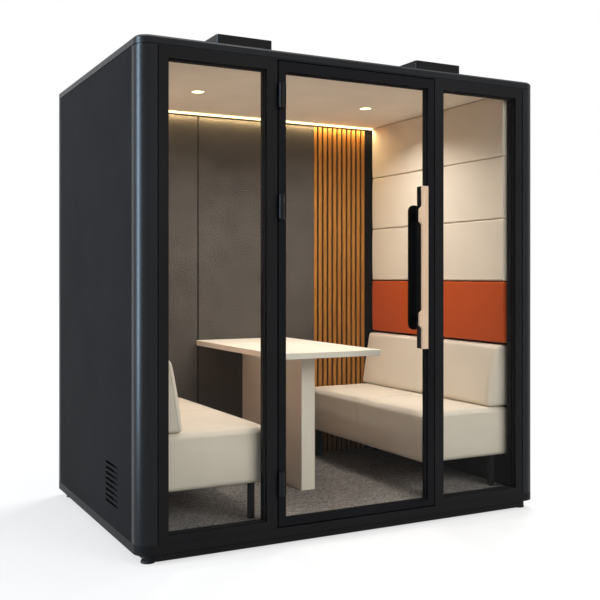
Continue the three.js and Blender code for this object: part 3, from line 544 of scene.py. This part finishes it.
def soften(target, width):
    """Welds a CAD piece's corners, rounds its edges and shades it smooth."""
    run_group(target, WELD_CORNERS)
    if width:
        dissolve = target.modifiers.new("flat_faces", "DECIMATE")
        dissolve.decimate_type = "DISSOLVE"
        dissolve.angle_limit = FLAT_ANGLE
        bevel = target.modifiers.new("edges", "BEVEL")
        bevel.width = width
        bevel.segments = BEVEL_STEPS
        bevel.limit_method = "ANGLE"
        bevel.angle_limit = BEVEL_ANGLE
        bevel.use_clamp_overlap = True
    run_group(target, SMOOTH_BY_ANGLE)
    if width:
        flat = target.modifiers.new("flat_shading", "WEIGHTED_NORMAL")
        flat.mode = "FACE_AREA"
        flat.weight = FLAT_WEIGHT
        flat.keep_sharp = True


def piece(name, mesh, finish, body="shell", stands_for=()):
    made = bpy.data.objects.new(name, mesh)
    bpy.context.scene.collection.objects.link(made)
    made.data.materials.clear()
    made.data.materials.append(finish)
    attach(made, body)
    if stands_for:
        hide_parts(*stands_for)
    return made


def mesh_of(name, shape):
    mesh = bpy.data.meshes.new(name)
    shape.to_mesh(mesh)
    shape.free()
    return mesh


def closed(shape):
    """Turns a finished shape's faces outwards and shades them smooth."""
    bmesh.ops.recalc_face_normals(shape, faces=shape.faces)
    for face in shape.faces:
        face.smooth = True
    return shape


def box_shape(low, high, rounding=0.0, steps=2):
    low, high = Vector(low), Vector(high)
    shape = bmesh.new()
    bmesh.ops.create_cube(shape, size=1.0)
    size = high - low
    bmesh.ops.transform(
        shape,
        matrix=Matrix.Translation((low + high) / 2) @ Matrix.Diagonal((*size, 1.0)),
        verts=shape.verts,
    )
    if rounding:
        bmesh.ops.bevel(
            shape,
            geom=shape.edges[:],
            offset=rounding,
            segments=steps,
            profile=0.5,
            affect="EDGES",
        )
    return closed(shape)


def turned_shape(profile, middle, sides=48):
    """A profile of (radius, height) points turned about Z; a radius of 0 closes an end."""
    shape = bmesh.new()
    rings = []
    for radius, height in profile:
        if radius == 0:
            rings.append([shape.verts.new(middle + Vector((0, 0, height)))])
            continue
        ring = []
        for side in range(sides):
            turn = 2 * math.pi * side / sides
            point = Vector((radius * math.cos(turn), radius * math.sin(turn), height))
            ring.append(shape.verts.new(middle + point))
        rings.append(ring)
    for lower, upper in zip(rings, rings[1:]):
        for side in range(sides):
            after = (side + 1) % sides
            corners = [lower[side % len(lower)], lower[after % len(lower)]]
            corners += [upper[after % len(upper)], upper[side % len(upper)]]
            shape.faces.new(list(dict.fromkeys(corners)))
    return closed(shape)


def ring_shape(middle, radius, wire_radius, sides=64, wire_sides=8):
    """A wire ring about Z."""
    shape = bmesh.new()
    rings = []
    for side in range(sides):
        turn = 2 * math.pi * side / sides
        out = Vector((math.cos(turn), math.sin(turn), 0))
        ring = []
        for step in range(wire_sides):
            round_angle = 2 * math.pi * step / wire_sides
            reach = out * (radius + wire_radius * math.cos(round_angle))
            lift = Vector((0, 0, wire_radius * math.sin(round_angle)))
            ring.append(shape.verts.new(middle + reach + lift))
        rings.append(ring)
    for ring, after in zip(rings, rings[1:] + rings[:1]):
        for step in range(wire_sides):
            further = (step + 1) % wire_sides
            shape.faces.new((ring[step], after[step], after[further], ring[further]))
    return closed(shape)


def tube_shape(points, radius, sides=8):
    """A closed-ended tube along a list of points."""
    shape = bmesh.new()
    rings = []
    for index, point in enumerate(points):
        ahead = points[min(index + 1, len(points) - 1)] - points[max(index - 1, 0)]
        ahead.normalize()
        across = ahead.orthogonal().normalized()
        other = ahead.cross(across)
        ring = []
        for side in range(sides):
            turn = 2 * math.pi * side / sides
            out = across * radius * math.cos(turn) + other * radius * math.sin(turn)
            ring.append(shape.verts.new(point + out))
        rings.append(ring)
    for ring, after in zip(rings, rings[1:]):
        nearest = min(range(sides), key=lambda k: (after[k].co - ring[0].co).length)
        turned = after[nearest:] + after[:nearest]
        for step in range(sides):
            further = (step + 1) % sides
            shape.faces.new((ring[step], turned[step], turned[further], ring[further]))
    shape.faces.new(rings[0])
    shape.faces.new(rings[-1])
    return closed(shape)


def merged(shapes):
    whole = bmesh.new()
    for shape in shapes:
        part = bpy.data.meshes.new("part")
        shape.to_mesh(part)
        shape.free()
        whole.from_mesh(part)
        bpy.data.meshes.remove(part)
    return whole


def frame_ring(low, high, width, depth_low, depth_high, rounding):
    """Four bars round an upright opening that runs from low to high in X and Z."""
    bars = (
        ((low[0], low[2]), (low[0] + width, high[2])),
        ((high[0] - width, low[2]), (high[0], high[2])),
        ((low[0], low[2]), (high[0], low[2] + width)),
        ((low[0], high[2] - width), (high[0], high[2])),
    )
    return merged(
        box_shape((x0, depth_low, z0), (x1, depth_high, z1), rounding) for (x0, z0), (x1, z1) in bars
    )


# Upholstery


def grid_lines(low, high, radius, extra=()):
    """Places of the grid lines between two faces: close together round the edges, then at an even pitch."""
    edge = [radius * step / ROUND_STEPS for step in range(ROUND_STEPS)]
    inner_low, inner_high = low + radius, high - radius
    count = max(2, round((inner_high - inner_low) / CUSHION_PITCH))
    inner = [inner_low + (inner_high - inner_low) * step / count for step in range(count + 1)]
    for seam in extra:
        inner = [line for line in inner if abs(line - seam) > CHANNEL_REACH]
    near = [seam + offset for seam in extra for offset in CHANNEL_LINES]
    return sorted([low + step for step in edge] + inner + near + [high - step for step in edge])


def cushion_shape(low, high, radius, channels=()):
    """A block with rounded edges, meshed in even rows. channels are places along Y that get closer rows."""
    low, high = Vector(low), Vector(high)
    lines = [
        grid_lines(low.x, high.x, radius),
        grid_lines(low.y, high.y, radius, channels),
        grid_lines(low.z, high.z, radius),
    ]
    shape = bmesh.new()
    verts = {}

    def vert_at(index):
        if index not in verts:
            point = Vector([lines[axis][index[axis]] for axis in range(3)])
            core = Vector([min(max(at, a + radius), b - radius) for at, a, b in zip(point, low, high)])
            verts[index] = shape.verts.new(core + (point - core).normalized() * radius)
        return verts[index]

    for axis in range(3):
        first, second = [other for other in range(3) if other != axis]
        ends = (0, len(lines[axis]) - 1)
        spans = (range(len(lines[first]) - 1), range(len(lines[second]) - 1))
        for end, a, b in product(ends, *spans):
            corners = []
            for step_a, step_b in ((0, 0), (1, 0), (1, 1), (0, 1)):
                index = [0, 0, 0]
                index[axis] = end
                index[first] = a + step_a
                index[second] = b + step_b
                corners.append(vert_at(tuple(index)))
            shape.faces.new(corners)
    return closed(shape)


def bake(target):
    """Applies a helper object's modifiers, removes the object and returns its mesh."""
    seen = target.evaluated_get(bpy.context.evaluated_depsgraph_get())
    mesh = bpy.data.meshes.new_from_object(seen)
    bpy.data.objects.remove(target)
    return mesh


def swell(name, mesh, rests, cap):
    """Blows a block up as cloth under pressure. rests(point) tells where it lies on something."""
    target = bpy.data.objects.new(name, mesh)
    bpy.context.scene.collection.objects.link(target)
    held = target.vertex_groups.new(name="held")
    before = [vert.co.copy() for vert in mesh.vertices]
    normals = [vert.normal.copy() for vert in mesh.vertices]
    still = [index for index, point in enumerate(before) if rests(point)]
    held.add(still, 1.0, "REPLACE")
    cloth = target.modifiers.new("cloth", "CLOTH")
    settings = cloth.settings
    settings.quality = 5
    settings.mass = 0.3
    settings.tension_stiffness = 25
    settings.compression_stiffness = 25
    settings.shear_stiffness = 10
    settings.bending_stiffness = 2
    settings.use_pressure = True
    settings.uniform_pressure_force = PRESSURE
    settings.effector_weights.gravity = 0
    settings.vertex_group_mass = "held"
    scene = bpy.context.scene
    for step in range(1, SIM_FRAMES + 1):
        scene.frame_set(step)
    blown = bake(target)
    scene.frame_set(1)
    moves = []
    for vert, origin, outward in zip(blown.vertices, before, normals):
        moves.append(outward * max(0.0, (vert.co - origin).dot(outward)))
    moves = calmed(blown, moves, set(still))
    for vert, origin, move in zip(blown.vertices, before, moves):
        vert.co = origin + move * min(1.0, cap / max(move.length, TINY))
    return blown


def calmed(mesh, moves, still):
    """Evens the movement out over neighbouring points, so that the crown stays and the creases go."""
    beside = [[] for _ in mesh.vertices]
    for edge in mesh.edges:
        first, second = edge.vertices
        beside[first].append(second)
        beside[second].append(first)
    for _ in range(CALM_ROUNDS):
        after = []
        for index, move in enumerate(moves):
            if index in still:
                after.append(move)
                continue
            mean = sum((moves[other] for other in beside[index]), Vector()) / len(beside[index])
            after.append(move.lerp(mean, CALM_SHARE))
        moves = after
    return moves


def copy_by(mesh, name, matrix):
    """A moved or mirrored copy of a mesh, with its faces still pointing out."""
    made = mesh.copy()
    made.name = name
    made.transform(matrix)
    if matrix.determinant() < 0:
        made.flip_normals()
    return made


def tree_of(mesh):
    shape = bmesh.new()
    shape.from_mesh(mesh)
    tree = BVHTree.FromBMesh(shape)
    shape.free()
    return tree


def on_surface(tree, points, lift=0.0):
    """Points moved onto a surface, and lifted off it a little."""
    found = []
    for point in points:
        place_on, normal, _, _ = tree.find_nearest(point)
        found.append(place_on + normal * lift)
    return found


def path_through(corners, pitch):
    """Points at a steady pitch along straight runs between corners."""
    points = []
    for first, last in zip(corners, corners[1:]):
        first, last = Vector(first), Vector(last)
        count = max(1, round((last - first).length / pitch))
        points += [first.lerp(last, index / count) for index in range(count)]
    return points + [Vector(corners[-1])]


def stitch_shapes(tree, path):
    """Short stitches along a path over a surface."""
    spots = on_surface(tree, path, STITCH_RADIUS * STITCH_LIFT)
    shapes = []
    for spot, after in zip(spots, spots[1:]):
        ahead = (after - spot).normalized() * STITCH_LENGTH / 2
        middle = (spot + after) / 2
        shapes.append(tube_shape([middle - ahead, middle, middle + ahead], STITCH_RADIUS, STITCH_SIDES))
    return shapes


MIRROR_X = Matrix.Diagonal((-1.0, 1.0, 1.0, 1.0))


def side_matrix(sign):
    return Matrix.Identity(4) if sign > 0 else MIRROR_X


def subdivide(target):
    modifier = target.modifiers.new("subdivision", "SUBSURF")
    modifier.levels = 1
    modifier.render_levels = 1


def cushion_piece(name, mesh, slot, node):
    made = piece(name, mesh, FINISH[slot], stands_for=(node,))
    subdivide(made)


def thread_piece(name, mesh, matrix, finish):
    piece(name, copy_by(mesh, name, matrix), finish)


def carried(near, far):
    """A test for points on the underside, on the wall side or on the rear of a cushion."""

    def rests(point):
        behind = point.x > far.x - REST_MARGIN or point.y > far.y - REST_MARGIN
        return behind or point.z < near.z + REST_MARGIN

    return rests


def press_channel(mesh, middle, near, far):
    """Presses the seat's middle seam in, over the top and down the front."""
    for vert in mesh.vertices:
        dip = CHANNEL_DEPTH * math.exp(-(((vert.co.y - middle) / CHANNEL_WIDTH) ** 2))
        if vert.co.z > near.z + REST_MARGIN and vert.co.x < far.x - REST_MARGIN:
            vert.co -= vert.normal * dip


def seats():
    low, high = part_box("seat_cushion_right")
    middle = (low.y + high.y) / 2
    near = low + Vector((SEAT_CROWN, SEAT_CROWN, SEAT_RISE))
    far = high - Vector((COVER_GAP, COVER_GAP, SEAT_CROWN))
    start_mesh = mesh_of("seat", cushion_shape(near, far, SEAT_ROUND, (middle,)))
    whole = swell("seat_swell", start_mesh, carried(near, far), SEAT_CROWN)
    press_channel(whole, middle, near, far)
    tree = tree_of(whole)
    edge = SEAT_ROUND * EDGE_SHARE

    def over(y):
        """Corners of a run over the seat and down its front."""
        return [
            (far.x - SEAT_WELT_REAR, y, far.z),
            (near.x + SEAT_ROUND, y, far.z),
            (near.x + edge, y, far.z - edge),
            (near.x, y, far.z - SEAT_ROUND),
            (near.x, y, near.z + SEAT_ROUND * WELT_FOOT),
        ]

    welt_path = on_surface(tree, path_through(over(middle), WELT_PITCH))
    welt = mesh_of("seat_welt", tube_shape(welt_path, WELT_RADIUS))
    rows = []
    for side in (-1, 1):
        rows += stitch_shapes(tree, path_through(over(middle + side * STITCH_OFFSET), STITCH_PITCH))
    edge_seam = [
        (far.x - SEAT_WELT_REAR, near.y, far.z - SEAT_ROUND * SEAM_DROP),
        (near.x + SEAT_ROUND, near.y, far.z - SEAT_ROUND * SEAM_DROP),
    ]
    corner_seam = [
        (near.x + edge, near.y + edge, far.z - SEAT_ROUND),
        (near.x + edge, near.y + edge, near.z + SEAT_ROUND),
    ]
    seams = []
    for run in (edge_seam, corner_seam):
        seams.append(tube_shape(on_surface(tree, path_through(run, SEAM_PITCH)), SEAM_RADIUS))
    stitches = mesh_of("seat_stitches", merged(rows))
    seam_mesh = mesh_of("seat_seams", merged(seams))
    for side, sign in SIDES:
        matrix = side_matrix(sign)
        name = "seat_" + side
        mesh = copy_by(whole, name, matrix)
        cushion_piece(name, mesh, "cream_cover", "seat_cushion_" + side)
        thread_piece("seat_welt_" + side, welt, matrix, FINISH["cream_cover"])
        thread_piece("seat_seams_" + side, seam_mesh, matrix, FINISH["cream_cover"])
        thread_piece("seat_stitches_" + side, stitches, matrix, STITCHES)


def backs():
    low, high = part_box("back_cushion_right")
    near = low + Vector((BACK_CROWN, BACK_CROWN, BACK_RISE))
    far = high - Vector((COVER_GAP, COVER_GAP, BACK_CROWN))
    shape = cushion_shape(near, far, BACK_ROUND)

    def raked(point):
        """The front leans back towards the wall with height; the rear stays upright."""
        height = (point.z - near.z) / (far.z - near.z)
        depth = (far.x - point.x) / (far.x - near.x)
        return point + Vector((BACK_RAKE * height * depth, 0, 0))

    for vert in shape.verts:
        vert.co = raked(vert.co)
    whole = swell("back_swell", mesh_of("back", shape), carried(near, far), BACK_CROWN)
    tree = tree_of(whole)

    def rim(inward, sideways):
        """A run up the front edge of the near end and back over the top, this far in from the edge."""
        y = near.y + sideways
        front = near.x + inward
        top = far.z - inward
        corners = [
            Vector((front, y, near.z + BACK_ROUND)),
            Vector((front, y, far.z - BACK_ROUND)),
            Vector((front + BACK_ROUND * RIM_IN, y, top - BACK_ROUND * RIM_DOWN)),
            Vector((front + BACK_ROUND, y, top)),
            Vector((far.x - BACK_ROUND, y, top)),
        ]
        return path_through([raked(corner) for corner in corners], STITCH_PITCH)

    seam_path = on_surface(tree, rim(inward=BACK_ROUND, sideways=0.0))
    seam = mesh_of("back_seam", tube_shape(seam_path, SEAM_RADIUS))
    stitch_path = rim(inward=0.0, sideways=BACK_ROUND + STITCH_OFFSET)
    stitches = mesh_of("back_stitches", merged(stitch_shapes(tree, stitch_path)))
    for side, sign in SIDES:
        matrix = side_matrix(sign)
        name = "back_" + side
        mesh = copy_by(whole, name, matrix)
        cushion_piece(name, mesh, "cream_cover", "back_cushion_" + side)
        thread_piece("back_seam_" + side, seam, matrix, FINISH["cream_cover"])
        thread_piece("back_stitches_" + side, stitches, matrix, STITCHES)


def wall_pads():
    low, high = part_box("wall_pad_right")
    row_height = (high.z - low.z) / PAD_ROWS
    near = low + Vector((PAD_CROWN, PAD_GAP, PAD_GAP))
    far = Vector((high.x - COVER_GAP, high.y - PAD_GAP, low.z + row_height - PAD_GAP))
    start_mesh = mesh_of("pad", cushion_shape(near, far, PAD_ROUND))

    def rests(point):
        return point.x > near.x + PAD_ROUND + PAD_FREE

    row_mesh = swell("pad_swell", start_mesh, rests, PAD_CROWN)
    accent_low, accent_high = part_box("accent_pad_right")
    squeeze = (accent_high.z - accent_low.z) / row_height
    to_floor = Matrix.Translation((0, 0, -low.z))
    accent = Matrix.Translation((0, 0, accent_low.z)) @ Matrix.Diagonal((1, 1, squeeze, 1)) @ to_floor
    for side, sign in SIDES:
        for row in range(PAD_ROWS):
            lift = Matrix.Translation((0, 0, row * row_height))
            name = f"wall_pad_{side}_row_{row + 1}"
            mesh = copy_by(row_mesh, name, side_matrix(sign) @ lift)
            cushion_piece(name, mesh, "cream_cover", "wall_pad_" + side)
        name = "accent_" + side
        mesh = copy_by(row_mesh, name, side_matrix(sign) @ accent)
        cushion_piece(name, mesh, "orange_cover", "accent_pad_" + side)


# Rigid details


def slats():
    low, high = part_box("slat_panel")
    backing = mesh_of("slat_backing", box_shape((low.x, low.y + SLAT_DEPTH, low.z), high, BACKING_ROUND))
    piece("slat_backing", backing, SLAT_FELT, stands_for=("slat_panel",))
    for index in range(SLAT_COUNT):
        left = low.x + index * SLAT_PITCH
        name = f"slat_{index + 1:02d}"
        far = (left + SLAT_WIDTH, low.y + SLAT_DEPTH, high.z)
        shape = box_shape((left, low.y, low.z), far, SLAT_ROUND)
        piece(name, mesh_of(name, shape), FINISH["oak"])


def strip(name, width, near, far, finish):
    """A strip of this width along the line of the groove. near and far are its (Y, Z) corners."""
    low = (GROOVE_X - width / 2, *near)
    high = (GROOVE_X + width / 2, *far)
    piece(name, mesh_of(name, box_shape(low, high)), finish)


def joint_strips():
    """A black strip sunk in the felt's groove and a pale one in the ceiling's joint."""
    low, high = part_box("felt_lining")
    face = low.y + GROOVE_SINK
    near = (face, low.z + GROOVE_END)
    far = (face + GROOVE_STRIP, high.z - GROOVE_END)
    strip("felt_groove_strip", GROOVE_WIDTH, near, far, SLAT_FELT)
    low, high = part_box("ceiling_panel")
    near = (low.y + JOINT_FRONT, low.z - JOINT_PROUD)
    far = (high.y - JOINT_REAR, low.z + JOINT_SET)
    strip("ceiling_joint_strip", CEILING_JOINT, near, far, FINISH["laminate"])


def gaskets():
    for pane, body in PANES:
        low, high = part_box(pane)
        edge = Vector((GLASS_EDGE, 0, GLASS_EDGE))
        for side, near, far in (
            ("outside", low.y - GASKET_DEPTH, low.y - GASKET_GAP),
            ("inside", high.y + GASKET_GAP, high.y + GASKET_DEPTH),
        ):
            name = pane.replace("glass", "gasket") + "_" + side
            shape = frame_ring(low + edge, high - edge, GASKET_WIDTH, near, far, GASKET_ROUND)
            piece(name, mesh_of(name, shape), FINISH["rubber"], body=body)


def bezel_profile(outer):
    lip = LENS_RADIUS + BEZEL_CLEARANCE
    return [
        (lip, LENS_SINK),
        (lip, BEZEL_LIP),
        (lip + BEZEL_EASE, 0),
        (outer - BEZEL_EASE, BEZEL_DISH),
        (outer, BEZEL_SHOULDER),
        (outer, BEZEL_RIM),
        (outer - BEZEL_STEP, BEZEL_RIM),
        (outer - BEZEL_STEP, BEZEL_TOP),
        (lip, BEZEL_TOP),
        (lip, LENS_SINK),
    ]


def lens_profile():
    share, height = LENS_BELLY
    return [
        (0, LENS_MIDDLE),
        (LENS_RADIUS * share, height),
        (LENS_RADIUS, LENS_SINK),
        (LENS_RADIUS, LENS_TOP),
        (0, LENS_TOP),
    ]


def downlights():
    for side, _ in SIDES:
        node = "downlight_" + side
        low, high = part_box(node)
        middle = Vector(((low.x + high.x) / 2, (low.y + high.y) / 2, low.z))
        bezel = mesh_of("bezel_" + side, turned_shape(bezel_profile((high.x - low.x) / 2), middle))
        piece("bezel_" + side, bezel, FINISH["laminate"], stands_for=(node,))
        lens = mesh_of("lens_" + side, turned_shape(lens_profile(), middle))
        piece("lens_" + side, lens, FINISH["lamp"])


def fan_guards():
    for side, _ in SIDES:
        low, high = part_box("fan_housing_" + side)
        middle = Vector(((low.x + high.x) / 2, (low.y + high.y) / 2, high.z - GUARD_DROP))
        rings = merged(ring_shape(middle, radius, GUARD_WIRE) for radius in GUARD_RINGS)
        name = "fan_guard_" + side
        piece(name, mesh_of(name, rings), FINISH["black_metal"])


def hinge_caps():
    for level in LEVELS:
        low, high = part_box("hinge_pin_" + level)
        axis = Vector(((low.x + high.x) / 2, (low.y + high.y) / 2, 0))
        for part, sign, body in (("door_leaf", 1, "door"), ("frame_leaf", -1, "shell")):
            box_low, box_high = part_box(f"hinge_{part}_{level}")
            face = box_high.z if sign > 0 else box_low.z
            profile = [(radius, sign * height) for radius, height in HINGE_DOME]
            dome = turned_shape(profile, axis + Vector((0, 0, face)), HINGE_DOME_SIDES)
            name = f"hinge_cap_{part}_{level}"
            piece(name, mesh_of(name, dome), FINISH["black_metal"], body=body)


# The rigid model

# The door frame's darker paint is painted shade; the roof cap takes the glossier post paint
SPECIAL_FINISH = {"led_strip": LED_GLOW, "door_frame": SHADED_DOOR_PAINT, "roof_cap": FINISH["post_paint"]}


def dress_cad():
    for name, target in NODES.items():
        slot = SLOT_OF[name]
        finish = SPECIAL_FINISH.get(name, FINISH[slot])
        target.data.materials.clear()
        target.data.materials.append(finish)
        soften(target, BEVELS.get(slot, 0.0))


# Studio


def largest(tree, first, second):
    return add(tree, "ShaderNodeMath", None, {0: first, 1: second}, operation="MAXIMUM").outputs["Value"]


def shows_backdrop(tree):
    """1 for the rays that show the white backdrop: straight, mirrored or through glass."""
    ray = add(tree, "ShaderNodeLightPath").outputs
    straight = largest(tree, ray["Is Camera Ray"], ray["Is Transmission Ray"])
    return largest(tree, straight, ray["Is Glossy Ray"])


def grey(level):
    return (level, level, level, 1.0)


def backdrop_floor():
    """A wide pale floor that stays white where it is seen and keeps the pod's soft shadow."""
    mesh = bpy.data.meshes.new("floor")
    signs = ((-1, -1), (1, -1), (1, 1), (-1, 1))
    corners = [(x * FLOOR_REACH, y * FLOOR_REACH, -FLOOR_DROP) for x, y in signs]
    mesh.from_pydata(corners, [], [(0, 1, 2, 3)])
    floor = bpy.data.objects.new("floor", mesh)
    bpy.context.scene.collection.objects.link(floor)
    material = bpy.data.materials.new("floor_white")
    tree = bare_tree(material)
    white = add(tree, "ShaderNodeEmission", {"Color": grey(1.0), "Strength": FLOOR_GLOW})
    seen = shows_backdrop(tree)
    tone = blend(tree, seen, grey(FLOOR_TONE), grey(FLOOR_WHITE))
    matte = add(tree, "ShaderNodeBsdfDiffuse", None, {"Color": tone})
    where = add(tree, "ShaderNodeTexCoord")
    away = add(tree, "ShaderNodeVectorMath", None, {0: where.outputs["Object"]}, operation="LENGTH")
    fade = add(
        tree,
        "ShaderNodeMapRange",
        {"From Min": GLOW_NEAR, "From Max": GLOW_FAR, "To Min": GLOW_LEAST, "To Max": 1.0},
        {"Value": away.outputs["Value"]},
    )
    share = add(tree, "ShaderNodeMath", None, {0: seen, 1: fade.outputs["Result"]}, operation="MULTIPLY")
    surface = mixed_shader(tree, share.outputs["Value"], matte.outputs["BSDF"], white.outputs["Emission"])
    add(tree, "ShaderNodeOutputMaterial", None, {"Surface": surface})
    mesh.materials.append(material)


def studio_world():
    world = bpy.data.worlds.new("studio")
    bpy.context.scene.world = world
    tree = bare_tree(world)
    soft = add(tree, "ShaderNodeBackground", {"Color": SKY, "Strength": WORLD_LEVEL})
    white = add(tree, "ShaderNodeBackground", {"Color": grey(1.0), "Strength": 1.0})
    seen = shows_backdrop(tree)
    surface = mixed_shader(tree, seen, soft.outputs["Background"], white.outputs["Background"])
    add(tree, "ShaderNodeOutputWorld", None, {"Surface": surface})


def area_light(name, place_at, target, size, power, colour, glossy=True, diffuse=True, spread_angle=180):
    data = bpy.data.lights.new(name, "AREA")
    data.shape = "RECTANGLE"
    data.size, data.size_y = size
    data.energy = power
    data.color = colour
    data.spread = math.radians(spread_angle)
    made = bpy.data.objects.new(name, data)
    bpy.context.scene.collection.objects.link(made)
    made.location = place_at
    made.rotation_mode = "QUATERNION"
    made.rotation_quaternion = (Vector(target) - Vector(place_at)).to_track_quat("-Z", "Y")
    made.visible_camera = False
    made.visible_glossy = glossy
    made.visible_diffuse = diffuse


def room_lights():
    """Soft lamps round the pod. Those that would show as hard shapes in the glass aren't mirrored."""
    unmirrored = {"glossy": False}
    area_light("key", (1.5, -6.5, 3.6), POD_MIDDLE, (4.5, 3.0), power=290, colour=DAYLIGHT, **unmirrored)
    area_light("rim_left", (-5.0, -0.4, 2.8), POD_MIDDLE, (1.4, 4.5), power=165, colour=COOL, **unmirrored)
    area_light("glint", (-5.0, -0.4, 1.6), POD_MIDDLE, (1.4, 4.5), power=850, colour=BLUE, diffuse=False)
    area_light("top", (0.0, -0.5, 6.5), (0.0, 0.0, 0.0), (4.0, 4.0), power=110, colour=NEUTRAL)
    area_light("rear_fill", (5.0, 4.5, 6.5), POD_MIDDLE, (4.0, 3.0), power=700, colour=NEUTRAL, **unmirrored)


def light_down(name, x, y, z, size, power, spread_angle):
    """A warm lamp that points straight down."""
    settings = {"glossy": False, "spread_angle": spread_angle}
    area_light(name, (x, y, z), (x, y, 0.0), size, power, WARM, **settings)


def cabin_lights():
    """The pod's own light: the ceiling's bounce, the LED strip's glow and the downlights."""
    ceiling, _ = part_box("ceiling_panel")
    light_down("cabin", CABIN_X, CABIN_Y, ceiling.z - CABIN_DROP, CABIN_SIZE, power=8.2, spread_angle=150)
    low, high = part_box("led_strip")
    middle = (low.x + high.x) / 2
    glow_from = (middle, low.y - COVE_FRONT, low.z - COVE_DROP)
    glow_to = (middle, high.y + COVE_AIM[0], low.z + COVE_AIM[1])
    size = (high.x - low.x, COVE_WIDTH)
    area_light("cove", glow_from, glow_to, size, power=4.5, colour=GOLDEN, glossy=False)
    for side, _ in SIDES:
        low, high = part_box("downlight_" + side)
        spot = (low + high) / 2
        name = "downlight_" + side + "_beam"
        light_down(name, spot.x, spot.y, low.z - BEAM_DROP, BEAM_SIZE, power=4.9, spread_angle=140)


def camera():
    data = bpy.data.cameras.new("camera")
    data.sensor_width = CAMERA_SENSOR
    data.lens = CAMERA_LENS
    data.shift_y = CAMERA_SHIFT
    made = bpy.data.objects.new("camera", data)
    bpy.context.scene.collection.objects.link(made)
    made.location = CAMERA_PLACE
    made.rotation_euler = (math.pi / 2, 0, CAMERA_TURN)
    bpy.context.scene.camera = made


bpy.context.scene.view_settings.view_transform = "Standard"
camera()
dress_cad()
slats()
joint_strips()
gaskets()
downlights()
fan_guards()
hinge_caps()
seats()
backs()
wall_pads()
backdrop_floor()
studio_world()
room_lights()
cabin_lights()
